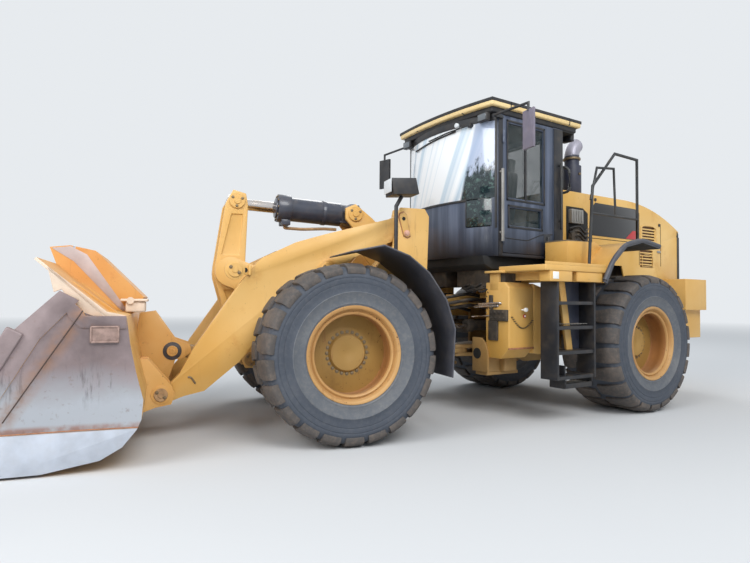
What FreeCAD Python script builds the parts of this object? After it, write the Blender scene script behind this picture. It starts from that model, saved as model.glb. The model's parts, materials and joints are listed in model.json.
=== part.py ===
import FreeCAD, Part
import math
import os

import Sketcher

# Articulated wheel loader with a Z-bar linkage, in millimetres.
# Both halves are drawn about the hitch: X forward, Y to the left, Z up from the ground.
# The front half then turns about the hitch pins by steer_rest, as the machine is parked.

VALUES = (
    # name, value, meaning
    ("steer_rest", 13.43, "degrees that the front half is turned to the right"),
    ("wheel_base", 3550, "front axle to rear axle, the hitch midway"),
    ("track", 2230, "between the middles of the tyres"),
    ("tyre_radius", 810, "to the tips of the lugs, and the height of the axles"),
    ("tyre_width", 750, "over the sidewalls"),
    ("tread_depth", 30, "from the tips of the lugs down to the tread between them"),
    ("lug_gap", 40, "from the middle of the tread to the lugs' inner ends"),
    ("lug_flat", 75, "from the sidewall in to where a lug starts to fall off"),
    ("bulge_low", 150, "from the rim's flange out to where the sidewall is widest"),
    ("bulge_high", 110, "from the lugs' tips in to where the sidewall closes to the tread"),
    ("bead_in", 15, "from the rim's flange in to the bead"),
    ("rim_radius", 435, "outside of the rim's flanges"),
    ("rim_flange", 22, "height of the flanges over the bead seat"),
    ("rim_wall", 18, "wall of the rim's barrel"),
    ("rim_width", 700, "over the flanges"),
    ("disc_inset", 260, "from the outer flange to the face of the wheel disc"),
    ("disc_thick", 30, "wheel disc"),
    ("hub_radius", 215, "planetary hub on the axle"),
    ("hub_cap_radius", 165, "cap over the middle of the disc"),
    ("hub_cap_depth", 45, "cap over the face of the disc"),
    ("axle_radius", 165, "axle housing"),
    ("diff_radius", 250, "differential housing"),
    ("trunnion_radius", 130, "pins on which the rear axle rocks"),
    ("trunnion_reach", 480, "from the axle to the faces that carry the trunnions"),
    ("seat_gap", 0.3, "between seated pieces that move"),
    # hitch
    ("hitch_top", 1300, "height of the upper hitch ear"),
    ("hitch_low", 700, "height of the lower hitch ear"),
    ("ear_thick", 50, "front half's hitch ears"),
    ("fork_thick", 40, "rear half's hitch plates"),
    ("fork_gap", 3, "between ear and plate"),
    ("nose_radius", 130, "round ends of the hitch plates"),
    ("hitch_pin", 50, "radius of the hitch pins"),
    # rear frame
    ("frame_half", 400, "half the width of the rear frame"),
    ("frame_plate", 40, "side plates of both frames"),
    ("frame_front", 560, "from the hitch to the rear frame's side plates"),
    ("frame_rear", 3400, "from the hitch to the rear frame's end"),
    ("frame_low", 560, "underside of the rear frame"),
    ("frame_arch", 1130, "underside of the rear frame over the axle"),
    ("frame_deck", 1240, "top of the rear frame under the engine"),
    ("gearbox_long", 295, "transmission, from the rear axle's front trunnion forward"),
    # counterweight
    ("weight_long", 825, "from the frame's end to the rearmost face"),
    ("weight_half", 980, "half the width"),
    ("weight_top", 1630, "top of the side lobes"),
    ("weight_notch", 1330, "top of the middle"),
    ("weight_step", 1190, "underside of the overhang"),
    ("weight_low", 790, "underside"),
    ("tow_pin_in", 175, "from the rearmost face forward to the tow pin"),
    ("tow_pin_radius", 25, "pin in the jaw of the counterweight"),
    ("eye_in", 400, "from the rearmost face forward to the tie-down eyes"),
    ("eye_y", 430, "from the middle to the tie-down eyes' inner faces"),
    ("eye_thick", 40, "tie-down eyes"),
    ("eye_radius", 30, "hole of a tie-down eye"),
    ("eye_rim", 40, "steel around the hole of a tie-down eye"),
    ("eye_drop", 85, "from the counterweight's underside down to the hole"),
    # hood
    ("hood_half", 620, "half the width of the hood"),
    ("hood_skin", 20, "thickness of the hood"),
    ("hood_top", 2700, "top of the hood"),
    ("hood_split", 1760, "from the hitch to the joint between the fixed and the opening hood"),
    ("hood_front", 1165, "from the hitch to the front of the fixed hood"),
    ("hood_overhang", 480, "from the frame's end to the rear of the opening hood"),
    ("hood_low", 1500, "lower edge of the hood's sides behind the wheels"),
    ("hood_arch", 1790, "lower edge of the hood's sides over the wheels"),
    ("hood_hinge_in", 30, "from the hood's rear forward to its hinge"),
    ("hood_hinge_z", 2290, "height of the hood's hinge"),
    ("hood_pin", 20, "radius of the hood's hinge pins"),
    ("engine_half", 330, "half the width of the engine"),
    ("stack_x", 1620, "from the hitch to the exhaust"),
    ("stack_y", 440, "from the middle to the exhaust"),
    ("stack_radius", 95, "exhaust pipe"),
    ("stack_top", 3400, "top of the exhaust's bend"),
    # cab
    ("cab_half", 800, "half the width of the cab"),
    ("cab_front", 110, "from the hitch to the corner posts"),
    ("cab_bulge", 190, "how far the windscreen bows ahead of the posts"),
    ("cab_rear", 980, "from the hitch to the rear wall"),
    ("cab_low", 1790, "underside of the cab"),
    ("cab_high", 3370, "top of the cab's walls"),
    ("cab_wall", 50, "walls and posts"),
    ("post_width", 80, "corner posts"),
    ("sill", 2250, "lower edge of the right window"),
    ("screen_low", 2430, "lower edge of the windscreen's middle"),
    ("corner_low", 2120, "lower edge of the windscreen's sides"),
    ("corner_in", 430, "from the middle to where the windscreen's sides start"),
    ("window_top", 3300, "upper edge of the windows"),
    ("glass", 8, "thickness of the glass"),
    ("door_front", 36, "from the hitch to the front edge of the door"),
    ("door_rear", 800, "from the hitch to the rear edge of the door"),
    ("door_low", 1830, "lower edge of the door"),
    ("door_gap", 6, "around the door"),
    ("door_hinge", 14, "radius of the door's hinges"),
    ("roof_front", 250, "from the hitch to the front of the roof"),
    ("roof_rear", 1270, "from the hitch to the rear of the roof"),
    ("roof_half", 850, "half the width of the roof"),
    ("roof_top", 3510, "top of the roof"),
    ("lamp_high", 90, "roof lamps"),
    ("lamp_wide", 150, "roof lamps"),
    ("lamp_deep", 60, "roof lamps"),
    ("lamp_y", 620, "from the middle to the roof lamps' inner ends"),
    # platforms and steps
    ("deck_top", 1670, "top of the platforms"),
    ("deck_thick", 60, "platforms"),
    ("beam_depth", 90, "beams under the platforms"),
    ("deck_front", 110, "from the hitch to the platforms' front ends"),
    ("deck_rear", 890, "from the hitch to the platforms' rear ends"),
    ("deck_half", 1450, "half the width over the platforms"),
    ("ladder_y", 1300, "middle of the ladder"),
    ("ladder_rear", 750, "from the hitch to the ladder's rear side plate"),
    ("ladder_front", 120, "from the hitch to the ladder's front side plate"),
    ("ladder_low", 480, "lower end of the ladder"),
    ("rail_radius", 17, "handrails"),
    ("fender_lip", 25, "thick outer lip of the rear fenders"),
    ("grab_out", 45, "from the cab's side to the grab rails"),
    ("rail_y", 1250, "from the middle to the handrails"),
    ("tank_half", 950, "half the width over the side tanks"),
    ("tank_inner", 600, "from the middle to the tanks' inner faces"),
    ("tank_front", 100, "from the hitch to the tanks' front faces"),
    ("tank_rear", 290, "from the hitch to the tanks' rear faces"),
    ("tank_low", 664, "underside of the side tanks"),
    ("tank_top", 1500, "top of the side tanks"),
    # front frame and towers
    ("nose_reach", 550, "from the hitch to the front frame's side plates"),
    ("box_half", 240, "half the width of the front frame's middle"),
    ("tower_inner", 450, "from the middle to the inner tower plates"),
    ("tower_outer", 640, "from the middle to the outer tower plates"),
    ("tower_inner_plate", 50, "inner tower plates"),
    ("tower_outer_plate", 40, "outer tower plates"),
    ("tower_top", 2270, "top of the towers"),
    # linkage pins, in the front half's frame
    ("pin_a_x", 920, "lift arm on the tower"),
    ("pin_a_z", 2120, "lift arm on the tower"),
    ("pin_b_x", 3360, "bucket on the lift arm"),
    ("pin_b_z", 420, "bucket on the lift arm"),
    ("pin_c_x", 3265, "link on the bucket"),
    ("pin_c_z", 775, "link on the bucket"),
    ("pin_d_x", 2490, "link on the lever"),
    ("pin_d_z", 670, "link on the lever"),
    ("pin_p_x", 2720, "lever on the lift arms"),
    ("pin_p_z", 1570, "lever on the lift arms"),
    ("pin_t_x", 2660, "tilt cylinder on the lever"),
    ("pin_t_z", 2310, "tilt cylinder on the lever"),
    ("pin_e_x", 1370, "tilt cylinder on the front frame"),
    ("pin_e_z", 2250, "tilt cylinder on the front frame"),
    ("pin_g_x", 740, "lift cylinder on the front frame"),
    ("pin_g_z", 780, "lift cylinder on the front frame"),
    ("pin_h_x", 1800, "lift cylinder on the lift arm"),
    ("pin_h_z", 1600, "lift cylinder on the lift arm"),
    ("cross_x", 2300, "tube between the lift arms"),
    ("cross_z", 1420, "tube between the lift arms"),
    ("cross_radius", 130, "tube between the lift arms"),
    ("pin_radius", 50, "pins of the lift arms and bucket"),
    ("arm_inner", 520, "from the middle to the lift arms' inner faces"),
    ("arm_thick", 100, "lift arms"),
    ("lever_half", 200, "half the width of the tilt lever"),
    ("lever_plate", 50, "side plates of the tilt lever"),
    ("lever_sink", 15, "recesses in the lever's outer faces"),
    ("keeper", 22, "pin keepers on the lift arms' outer faces"),
    ("side_gap", 10, "between the side faces of linkage pieces"),
    # cylinders
    ("lift_y", 350, "from the middle to the lift cylinders"),
    ("lift_barrel", 80, "radius of the lift barrels"),
    ("lift_barrel_long", 1235, "lift barrels, from their pins"),
    ("lift_rod", 45, "radius of the lift rods"),
    ("lift_rod_long", 1215, "lift rods, to the middle of their eyes"),
    ("tilt_barrel", 130, "radius of the tilt barrel"),
    ("tilt_barrel_long", 830, "tilt barrel, from its pin"),
    ("tilt_rod", 60, "radius of the tilt rod"),
    ("tilt_rod_long", 760, "tilt rod, to the middle of its eye"),
    ("steer_base_x", 720, "from the hitch back to the steering barrels' pins"),
    ("steer_base_y", 200, "from the middle to the steering barrels' pins"),
    ("steer_eye_x", 470, "from the hitch forward to the steering rods' pins"),
    ("steer_eye_y", 330, "from the middle to the steering rods' pins"),
    ("steer_z", 1000, "height of the steering cylinders"),
    ("steer_barrel", 60, "radius of the steering barrels"),
    ("steer_barrel_long", 760, "steering barrels, from their pins"),
    ("steer_rod", 32, "radius of the steering rods"),
    ("steer_rod_long", 905, "steering rods, to the middle of their eyes"),
    # bucket
    ("bucket_half", 1530, "half the width of the bucket"),
    ("bucket_side", 30, "side plates of the bucket"),
    ("bucket_tip", 4950, "from the hitch to the cutting edge"),
    ("bucket_clear", 8, "cutting edge over the ground"),
    ("edge_thick", 40, "cutting edge"),
    ("edge_deep", 330, "cutting edge, from its tip back"),
    ("wear_thick", 12, "wear plates on the bucket's side plates"),
    ("wear_top", 310, "upper edge of the lower wear plate over the ground"),
    ("cutter_wide", 130, "wear strip along the front edge of a side plate"),
)


class Size:
    """A value with the sheet's expression that it comes from."""

    def __init__(self, number, text):
        self.number = number
        self.text = text

    def __add__(self, other):
        other = size(other)
        return Size(self.number + other.number, f"({self.text} + {other.text})")

    def __sub__(self, other):
        other = size(other)
        return Size(self.number - other.number, f"({self.text} - {other.text})")

    def __mul__(self, other):
        other = size(other)
        return Size(self.number * other.number, f"({self.text} * {other.text})")

    def __truediv__(self, other):
        other = size(other)
        return Size(self.number / other.number, f"({self.text} / {other.text})")

    def __radd__(self, other):
        return size(other) + self

    def __rsub__(self, other):
        return size(other) - self

    def __rmul__(self, other):
        return size(other) * self

    def __neg__(self):
        return Size(-self.number, f"(0 - {self.text})")


def size(value):
    if isinstance(value, Size):
        return value
    return Size(float(value), f"({float(value)})")


def sine(angle):
    return Size(math.sin(math.radians(angle.number)), f"sin({angle.text})")


def cosine(angle):
    return Size(math.cos(math.radians(angle.number)), f"cos({angle.text})")


def root(value):
    return Size(math.sqrt(value.number), f"sqrt({value.text})")


def heading(across, along):
    """The angle in degrees from the first axis of a vector, along it and across it."""
    across, along = size(across), size(along)
    number = math.degrees(math.atan2(across.number, along.number))
    return Size(number, f"atan2({across.text}; {along.text})")


def make_sheet(doc):
    sheet = doc.addObject("Spreadsheet::Sheet", "Sizes")
    for row, (name, value, meaning) in enumerate(VALUES, start=1):
        sheet.set(f"A{row}", str(value))
        sheet.setAlias(f"A{row}", name)
        sheet.set(f"B{row}", meaning)
    doc.recompute()


doc = FreeCAD.newDocument("wheel_loader")
make_sheet(doc)
S = {name: Size(float(value), f"Sizes.{name}") for name, value, meaning in VALUES}

TURN = {
    "x": FreeCAD.Rotation(FreeCAD.Vector(0, 1, 0), 90),
    "y": FreeCAD.Rotation(FreeCAD.Vector(1, 0, 0), -90),
    "z": FreeCAD.Rotation(),
}
PLANES = {
    # plane: how the sketch is turned, the letter of its normal, that normal
    "xz": (FreeCAD.Rotation(FreeCAD.Vector(1, 0, 0), 90), "y", FreeCAD.Vector(0, 1, 0)),
    "xy": (FreeCAD.Rotation(), "z", FreeCAD.Vector(0, 0, 1)),
    "yz": (FreeCAD.Rotation(FreeCAD.Vector(1, 1, 1), 120), "x", FreeCAD.Vector(1, 0, 0)),
}


def bind(item, field, value):
    item.setExpression(field, size(value).text)


def put(item, rotation, **places):
    item.Placement = FreeCAD.Placement(FreeCAD.Vector(), rotation)
    for letter, value in places.items():
        bind(item, f"Placement.Base.{letter}", value)


# Shapes bound to the sheet

def block(x, y, z):
    """A box from the low and high values along each axis."""
    item = doc.addObject("Part::Box", "block")
    for field, (low, high) in (("Length", x), ("Width", y), ("Height", z)):
        bind(item, field, size(high) - low)
    put(item, FreeCAD.Rotation(), x=x[0], y=y[0], z=z[0])
    return item


def rod(axis, centre, radius, span):
    """A cylinder along an axis; centre gives the other two coordinates in order."""
    item = doc.addObject("Part::Cylinder", "rod")
    bind(item, "Radius", radius)
    bind(item, "Height", size(span[1]) - span[0])
    others = [letter for letter in "xyz" if letter != axis]
    put(item, TURN[axis], **{axis: span[0], others[0]: centre[0], others[1]: centre[1]})
    return item


def sketch(plane, level, corners, closed=True):
    """An outline of lines and arcs. A corner is (u, v), or (u, v, rise) where the edge that
    leaves it is an arc that stands out by rise to its right."""
    turn, normal = PLANES[plane][:2]
    item = doc.addObject("Sketcher::SketchObject", "outline")
    put(item, turn, **{normal: level})
    count = len(corners)
    edges = count if closed else count - 1
    for index in range(edges):
        start, end = corners[index], corners[(index + 1) % count]
        a = FreeCAD.Vector(size(start[0]).number, size(start[1]).number, 0)
        b = FreeCAD.Vector(size(end[0]).number, size(end[1]).number, 0)
        if len(start) == 3:
            rise = size(start[2]).number
            along = b - a
            side = FreeCAD.Vector(along.y, -along.x, 0).normalize()
            middle = (a + b) * 0.5 + side * rise
            item.addGeometry(Part.Arc(a, middle, b), False)
        else:
            item.addGeometry(Part.LineSegment(a, b), False)
    ends = [arc_ends(item.Geometry[i], corners[i]) for i in range(edges)]
    for index in range(edges - 1 + closed):
        follower = (index + 1) % edges
        joint = Sketcher.Constraint("Coincident", index, ends[index][1], follower, ends[follower][0])
        item.addConstraint(joint)
    for index in range(edges):
        fix_point(item, index, ends[index][0], corners[index])
        if len(corners[index]) == 3:
            fix_radius(item, index, corners[index], corners[(index + 1) % count])
    if not closed:
        fix_point(item, edges - 1, ends[-1][1], corners[-1])
    return item


def arc_ends(edge, corner):
    """Which ends of an edge come first and last: an arc always runs to the left."""
    if len(corner) == 2:
        return 1, 2
    start = edge.StartPoint
    here = FreeCAD.Vector(size(corner[0]).number, size(corner[1]).number, 0)
    return (1, 2) if start.distanceToPoint(here) < 1e-3 else (2, 1)


def fix_point(item, edge, end, corner):
    for kind, value in (("DistanceX", size(corner[0])), ("DistanceY", size(corner[1]))):
        row = item.addConstraint(Sketcher.Constraint(kind, -1, 1, edge, end, value.number))
        item.setExpression(f"Constraints[{row}]", value.text)


def fix_radius(item, edge, start, end):
    rise = size(start[2])
    run = size(end[0]) - start[0]
    climb = size(end[1]) - start[1]
    radius = ((run * run + climb * climb) / 4 + rise * rise) / (2 * rise)
    if rise.number < 0:
        radius = -radius
    row = item.addConstraint(Sketcher.Constraint("Radius", edge, radius.number))
    item.setExpression(f"Constraints[{row}]", radius.text)


def slab(plane, span, corners):
    """An outline pushed along its normal from the low to the high value."""
    outline = sketch(plane, span[0], corners)
    item = doc.addObject("Part::Extrusion", "slab")
    item.Base = outline
    item.DirMode = "Custom"
    item.Dir = PLANES[plane][2]
    item.Solid = True
    bind(item, "LengthFwd", size(span[1]) - span[0])
    return item


def spun(corners, centre):
    """An outline of (radius, y) turned about the line along Y through centre (x, z)."""
    item = doc.addObject("Part::Revolution", "spun")
    item.Source = sketch("xy", 0, corners)
    item.Axis = FreeCAD.Vector(0, 1, 0)
    item.Angle = 360
    item.Solid = True
    put(item, FreeCAD.Rotation(), x=centre[0], z=centre[1])
    return item


def pipe(plane, level, points, radius):
    """A round bar along a path of straight runs with mitred corners."""
    path = sketch(plane, level, points, closed=False)
    doc.recompute()
    edge = path.Shape.Edges[0]
    ends = edge.valueAt(edge.FirstParameter), edge.valueAt(edge.LastParameter)
    ring = doc.addObject("Part::Circle", "ring")
    bind(ring, "Radius", radius)
    turn = FreeCAD.Rotation(FreeCAD.Vector(0, 0, 1), ends[1] - ends[0])
    ring.Placement = FreeCAD.Placement(ends[0], turn)
    item = doc.addObject("Part::Sweep", "pipe")
    item.Sections = [ring]
    item.Spine = path
    item.Solid = True
    item.Frenet = False
    item.Transition = "Right corner"
    return item


def join(*items):
    item = doc.addObject("Part::MultiFuse", "joined")
    item.Shapes = list(items)
    item.Refine = True
    return item


def carve(base, *tools):
    item = doc.addObject("Part::Cut", "carved")
    item.Base = base
    item.Tool = tools[0] if len(tools) == 1 else join(*tools)
    item.Refine = True
    return item


def mirrored(base):
    item = doc.addObject("Part::Mirroring", "mirrored")
    item.Source = base
    item.Normal = FreeCAD.Vector(0, 1, 0)
    return item


def group(*items):
    item = doc.addObject("Part::Compound", "group")
    item.Links = list(items)
    return item


def both(base):
    """A piece and its mirror image, as separate solids."""
    return group(base, mirrored(base))


def turned(base, axis, angle, x=0, y=0, z=0):
    """A piece turned about an axis through the origin, then moved."""
    item = group(base)
    item.Placement = FreeCAD.Placement(FreeCAD.Vector(), FreeCAD.Rotation(axis, 0))
    bind(item, "Placement.Rotation.Angle", angle)
    for letter, value in (("x", x), ("y", y), ("z", z)):
        bind(item, f"Placement.Base.{letter}", value)
    return item


NODES = {}
UP = FreeCAD.Vector(0, 0, 1)
PITCH = FreeCAD.Vector(0, -1, 0)
ALONG = FreeCAD.Vector(0, 1, 0)
LUGS = 22


def node(name, item, front=False):
    """Names a finished piece and sets it in the machine, with the origin under its middle."""
    angle = -S["steer_rest"] if front else 0
    NODES[name] = turned(item, UP, angle, x=hitch_x(), y=hitch_y())
    NODES[name].Label = name


def hitch_x():
    """The hitch from the origin, which lies midway between the bucket's corner and the rear."""
    reach = S["bucket_tip"] * cosine(S["steer_rest"]) + S["bucket_half"] * sine(S["steer_rest"])
    return (weight_rear() - reach) / 2


def hitch_y():
    """The hitch from the origin, midway between the rear left tyre and the bucket's corner."""
    right = S["bucket_tip"] * sine(S["steer_rest"]) + S["bucket_half"] * cosine(S["steer_rest"])
    return (right - (S["track"] + S["tyre_width"]) / 2) / 2


def pin(letter):
    return S[f"pin_{letter}_x"], S[f"pin_{letter}_z"]


def weight_rear():
    return S["frame_rear"] + S["weight_long"]


def hood_rear():
    return S["frame_rear"] + S["hood_overhang"]


def axle_x():
    return S["wheel_base"] / 2


# Wheels and axles

def tyre_outline():
    """Section of the tyre with its tread between the lugs, distance from its middle and radius."""
    half, crown = S["tyre_width"] / 2, S["tyre_radius"]
    bead = S["rim_width"] / 2 - S["rim_wall"] - S["bead_in"]
    seat = S["rim_radius"] - S["rim_flange"] + S["seat_gap"]
    right = ((bead, seat), (half, S["rim_radius"] + S["bulge_low"]), (half, crown - S["bulge_high"]),
             (half - S["lug_flat"], crown - S["tread_depth"]))
    return right + tuple((-y, radius) for y, radius in reversed(right))


def lug_outline():
    """One lug seen along the tread, from near the middle over the shoulder to the sidewall."""
    half, crown = S["tyre_width"] / 2, S["tyre_radius"]
    inside = crown - S["tread_depth"] - 12
    return ((S["lug_gap"], inside), (S["lug_gap"], crown), (half - S["lug_flat"], crown),
            (half, crown - S["bulge_high"]), (half - S["lug_flat"], inside))


def tyre():
    """A ring of flat-sided sectors with lugs on both sides, half a lug's pitch apart."""
    pitch = 360 / LUGS
    reach = S["tyre_radius"] * 1.1
    spread = reach * math.tan(math.radians(pitch / 2))
    sector = doc.addObject("Part::Common", "sector")
    sector.Base = slab("yz", (-spread, spread), tyre_outline())
    sector.Tool = slab("xz", (-S["tyre_width"], S["tyre_width"]), ((0, 0), (spread, reach), (-spread, reach)))
    lug_half = S["tyre_radius"] * math.tan(math.radians(pitch / 4))
    left = slab("yz", (-lug_half, lug_half), lug_outline())
    right = mirrored(left)
    pieces = []
    for step in range(LUGS):
        pieces += [turned(sector, ALONG, pitch * step), turned(left, ALONG, pitch * step),
                   turned(right, ALONG, pitch * (step + 0.5))]
    return join(*pieces)


def rim_outline(side):
    """Section of the rim on one side of the machine; its disc faces outwards."""
    seat = S["rim_radius"] - S["rim_flange"]
    bore = seat - S["rim_wall"]
    edge = S["rim_width"] / 2
    lip = edge - S["rim_wall"]
    face = edge - S["disc_inset"]
    back = face - S["disc_thick"]
    cap = face + S["hub_cap_depth"]
    points = (
        (0, back), (bore, back), (bore, -edge), (S["rim_radius"], -edge), (S["rim_radius"], -lip),
        (seat, -lip), (seat, lip), (S["rim_radius"], lip), (S["rim_radius"], edge), (bore, edge),
        (bore, face), (S["hub_cap_radius"], face), (S["hub_cap_radius"] - 25, cap), (0, cap),
    )
    return [(radius, y * side) for radius, y in points]


def wheel(end, side_name, side, tyre_form):
    x = axle_x() if end == "front" else -axle_x()
    for piece, item in (("tyre", tyre_form), ("rim", spun(rim_outline(side), (0, 0)))):
        placed = turned(item, UP, 0, x=x, y=S["track"] / 2 * side, z=S["tyre_radius"])
        node(f"{end}_{piece}_{side_name}", placed, front=end == "front")


def hub_face():
    """From the middle to the axle's end face, which the wheel disc bolts to."""
    return S["track"] / 2 + S["rim_width"] / 2 - S["disc_inset"] - S["disc_thick"] - S["seat_gap"]


def axle_housing(x):
    z = S["tyre_radius"]
    tube = rod("y", (x, z), S["axle_radius"], (-hub_face() + 250, hub_face() - 250))
    hub = rod("y", (x, z), S["hub_radius"], (hub_face() - 260, hub_face()))
    flare = rod("y", (x, z), S["hub_radius"] - 5, (S["diff_radius"] + 100, S["diff_radius"] + 220))
    case = rod("x", (0, z), S["diff_radius"], (x - 240, x + 240))
    return [tube, hub, mirrored(hub), flare, mirrored(flare), case]


def front_axle():
    x = axle_x()
    pads = block((x - 160, x + 160), (-S["box_half"], S["box_half"]), (S["tyre_radius"], front_seat()))
    node("front_axle", join(*axle_housing(x), pads), front=True)


def front_seat():
    """Height at which the front frame sits on its axle."""
    return S["tyre_radius"] + S["diff_radius"] + 20


def rear_axle():
    x = -axle_x()
    reach = S["trunnion_reach"] + S["frame_plate"]
    pins = rod("x", (0, S["tyre_radius"]), S["trunnion_radius"], (x - reach, x + reach))
    node("rear_axle", join(*axle_housing(x), pins))


# Rear half

def rear_frame():
    half, plate = S["frame_half"], S["frame_plate"]
    top = S["hitch_top"] + S["ear_thick"] / 2 + S["fork_gap"] + S["fork_thick"]
    x = -axle_x()
    side = slab("xz", (half - plate, half), (
        (-S["frame_front"], top), (-S["frame_front"], S["hitch_low"] - 68),
        (-S["frame_front"] - 200, S["frame_low"]), (x + 430, S["frame_low"]),
        (x + 330, S["frame_arch"]), (x - 330, S["frame_arch"]), (x - 430, S["frame_low"] + 60),
        (-S["frame_rear"], S["frame_low"] + 160), (-S["frame_rear"], S["frame_deck"]),
        (x - 200, S["frame_deck"]), (x + 700, top),
    ))
    pieces = [side, mirrored(side)]
    inside = (plate - half, half - plate)
    for middle in (S["hitch_top"], S["hitch_low"]):
        for sign in (-1, 1):
            low = middle + sign * (S["ear_thick"] / 2 + S["fork_gap"])
            span = (low, low + S["fork_thick"]) if sign > 0 else (low - S["fork_thick"], low)
            pieces += hitch_plate(-S["frame_front"] - 140, half, span)
        reach = S["ear_thick"] / 2 + S["fork_gap"] + S["fork_thick"]
        pieces.append(rod("z", (0, 0), S["hitch_pin"], (middle - reach, middle + reach)))
    trunnion_span = (S["frame_low"] + 60, S["frame_arch"] + 60)
    for sign in (-1, 1):
        near = x + sign * S["trunnion_reach"]
        far = near + sign * plate
        span = (near, far) if sign > 0 else (far, near)
        wall = block(span, inside, trunnion_span)
        hole = rod("x", (0, S["tyre_radius"]), S["trunnion_radius"] + S["seat_gap"], span)
        pieces.append(carve(wall, hole))
    pieces.append(block((-S["frame_rear"], x - 520), inside, (S["frame_deck"] - plate, S["frame_deck"])))
    pieces.append(block((-S["frame_rear"], plate - S["frame_rear"]), inside,
                        (S["frame_low"] + 200, S["frame_deck"])))
    pieces.append(block((-S["frame_front"] - 340, -S["frame_front"] - 300), inside,
                        (S["frame_low"] + 60, top)))
    pieces += steering_base()
    for place in (-160, -760):
        pieces.append(block((place - 60, place + 60), (-S["deck_half"] + 60, S["deck_half"] - 60),
                            (S["deck_top"] - S["deck_thick"] - S["beam_depth"], S["deck_top"] - S["deck_thick"])))
        post = block((place - 60, place + 60), (half - 100, half), (top - 40, S["cab_low"]))
        pieces += [post, mirrored(post)]
    sill = block((-760, -160), (half - 100, half),
                 (S["deck_top"] - S["deck_thick"] - S["beam_depth"], S["deck_top"] - S["deck_thick"]))
    pieces += [sill, mirrored(sill)]
    for place in (-S["hood_front"] - 150, x - 200, -S["frame_rear"] + 200):
        rest = block((place - 40, place + 40), (half, S["hood_half"] - S["hood_skin"] - 10),
                     (S["frame_deck"] - 80, S["frame_deck"]))
        pieces += [rest, mirrored(rest)]
    for place in (-S["hood_front"] - 110, -S["hood_split"] + 120):
        stay = block((place - 40, place + 40), (half - plate, half + 80), (S["frame_deck"] - 80, S["hood_arch"]))
        pieces += [stay, mirrored(stay)]
    node("rear_frame", join(*pieces))


def hitch_plate(back, half, span):
    """A plate that narrows from the frame to its round end at the hitch."""
    sign = -1 if back.number < 0 else 1
    nose = S["nose_radius"]
    plate = slab("xy", span, ((0, -nose), (back, -half), (back, half), (0, nose)) if sign > 0 else
                 ((0, nose), (back, half), (back, -half), (0, -nose)))
    return [plate, rod("z", (0, 0), nose, span)]


def steering_base():
    """Plates over and under the steering barrels' pins, and the pins."""
    pieces = []
    x, y = -S["steer_base_x"], S["steer_base_y"]
    eye = S["steer_barrel"] - 5
    back = -S["frame_front"] - 300
    for sign in (-1, 1):
        low = S["steer_z"] + sign * (eye + 5)
        span = (low, low + 30) if sign > 0 else (low - 30, low)
        pieces.append(block((back, x + 70), (S["frame_plate"] - S["frame_half"],
                                             S["frame_half"] - S["frame_plate"]), span))
    shaft = rod("z", (x, y), 30, (S["steer_z"] - eye - 20, S["steer_z"] + eye + 20))
    return pieces + [shaft, mirrored(shaft)]


def counterweight():
    front, rear = -S["frame_rear"], -weight_rear()
    half = S["weight_half"]

    def plan(shrink):
        edge = half - shrink
        return ((front, edge), (rear + 260, edge), (rear + 60 + shrink, edge - 200),
                (rear + shrink, edge - 480), (rear + shrink, 480 - edge),
                (rear + 60 + shrink, 200 - edge), (rear + 260, -edge), (front, -edge))

    lower = slab("xy", (S["weight_low"], S["weight_step"]), plan(90))
    upper = slab("xy", (S["weight_step"], S["weight_top"]), plan(0))
    notch = block((rear + 180, front), (-S["hood_half"] - 30, S["hood_half"] + 30),
                  (S["weight_notch"], S["weight_top"]))
    notch_rear = block((rear, rear + 180), (-S["hood_half"] + 120, S["hood_half"] - 120),
                       (S["weight_notch"] + 60, S["weight_top"]))
    jaw_span = (S["weight_low"] + 120, S["weight_step"] - 60)
    recess = block((rear, rear + 260), (-150, 150), jaw_span)
    jaw = rod("z", (rear + S["tow_pin_in"], 0), S["tow_pin_radius"], jaw_span)
    node("counterweight", join(carve(join(lower, upper), notch, notch_rear, recess), jaw))


def tie_down_eyes():
    """Lugs under the counterweight, for a chain's shackle."""
    x, z = S["eye_in"] - weight_rear(), S["weight_low"] - S["eye_drop"]
    span = (S["eye_y"], S["eye_y"] + S["eye_thick"])
    rim = S["eye_radius"] + S["eye_rim"]
    web = slab("xz", span, ((x - rim * 2, S["weight_low"]), (x - rim, z), (x + rim, z), (x + rim * 2, S["weight_low"])))
    eye = carve(join(web, rod("y", (x, z), rim, span)), rod("y", (x, z), S["eye_radius"], span))
    node("tie_down_eyes", group(eye, mirrored(eye)))


def engine_block():
    node("engine_block", block((100 - S["frame_rear"], -axle_x() - 275), (-S["engine_half"], S["engine_half"]),
                               (S["frame_deck"], 2000)))


def radiator():
    node("radiator", block((100 - hood_rear(), 280 - hood_rear()), (-520, 520), (S["weight_notch"], 2220)))


def transmission():
    rear = S["trunnion_reach"] + S["frame_plate"] - axle_x()
    node("transmission", block((rear, rear + S["gearbox_long"]), (-260, 260), (620, 1200)))


def hood_side(front, low_rear):
    """Side view of the hood between its front edge and its lower rear corner."""
    rear, top, x = -hood_rear(), S["hood_top"], -axle_x()
    return ((front, S["hood_arch"]), (front, top), (-2400, top, 97), (rear, top - 340),
            (rear, low_rear), (rear + 480, low_rear), (rear + 560, S["hood_low"]),
            (x - 760, S["hood_low"]), (x - 670, S["hood_arch"]))


VENTS = ((-3260, 2130), (-3200, 1790))
BLADES = 5


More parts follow.
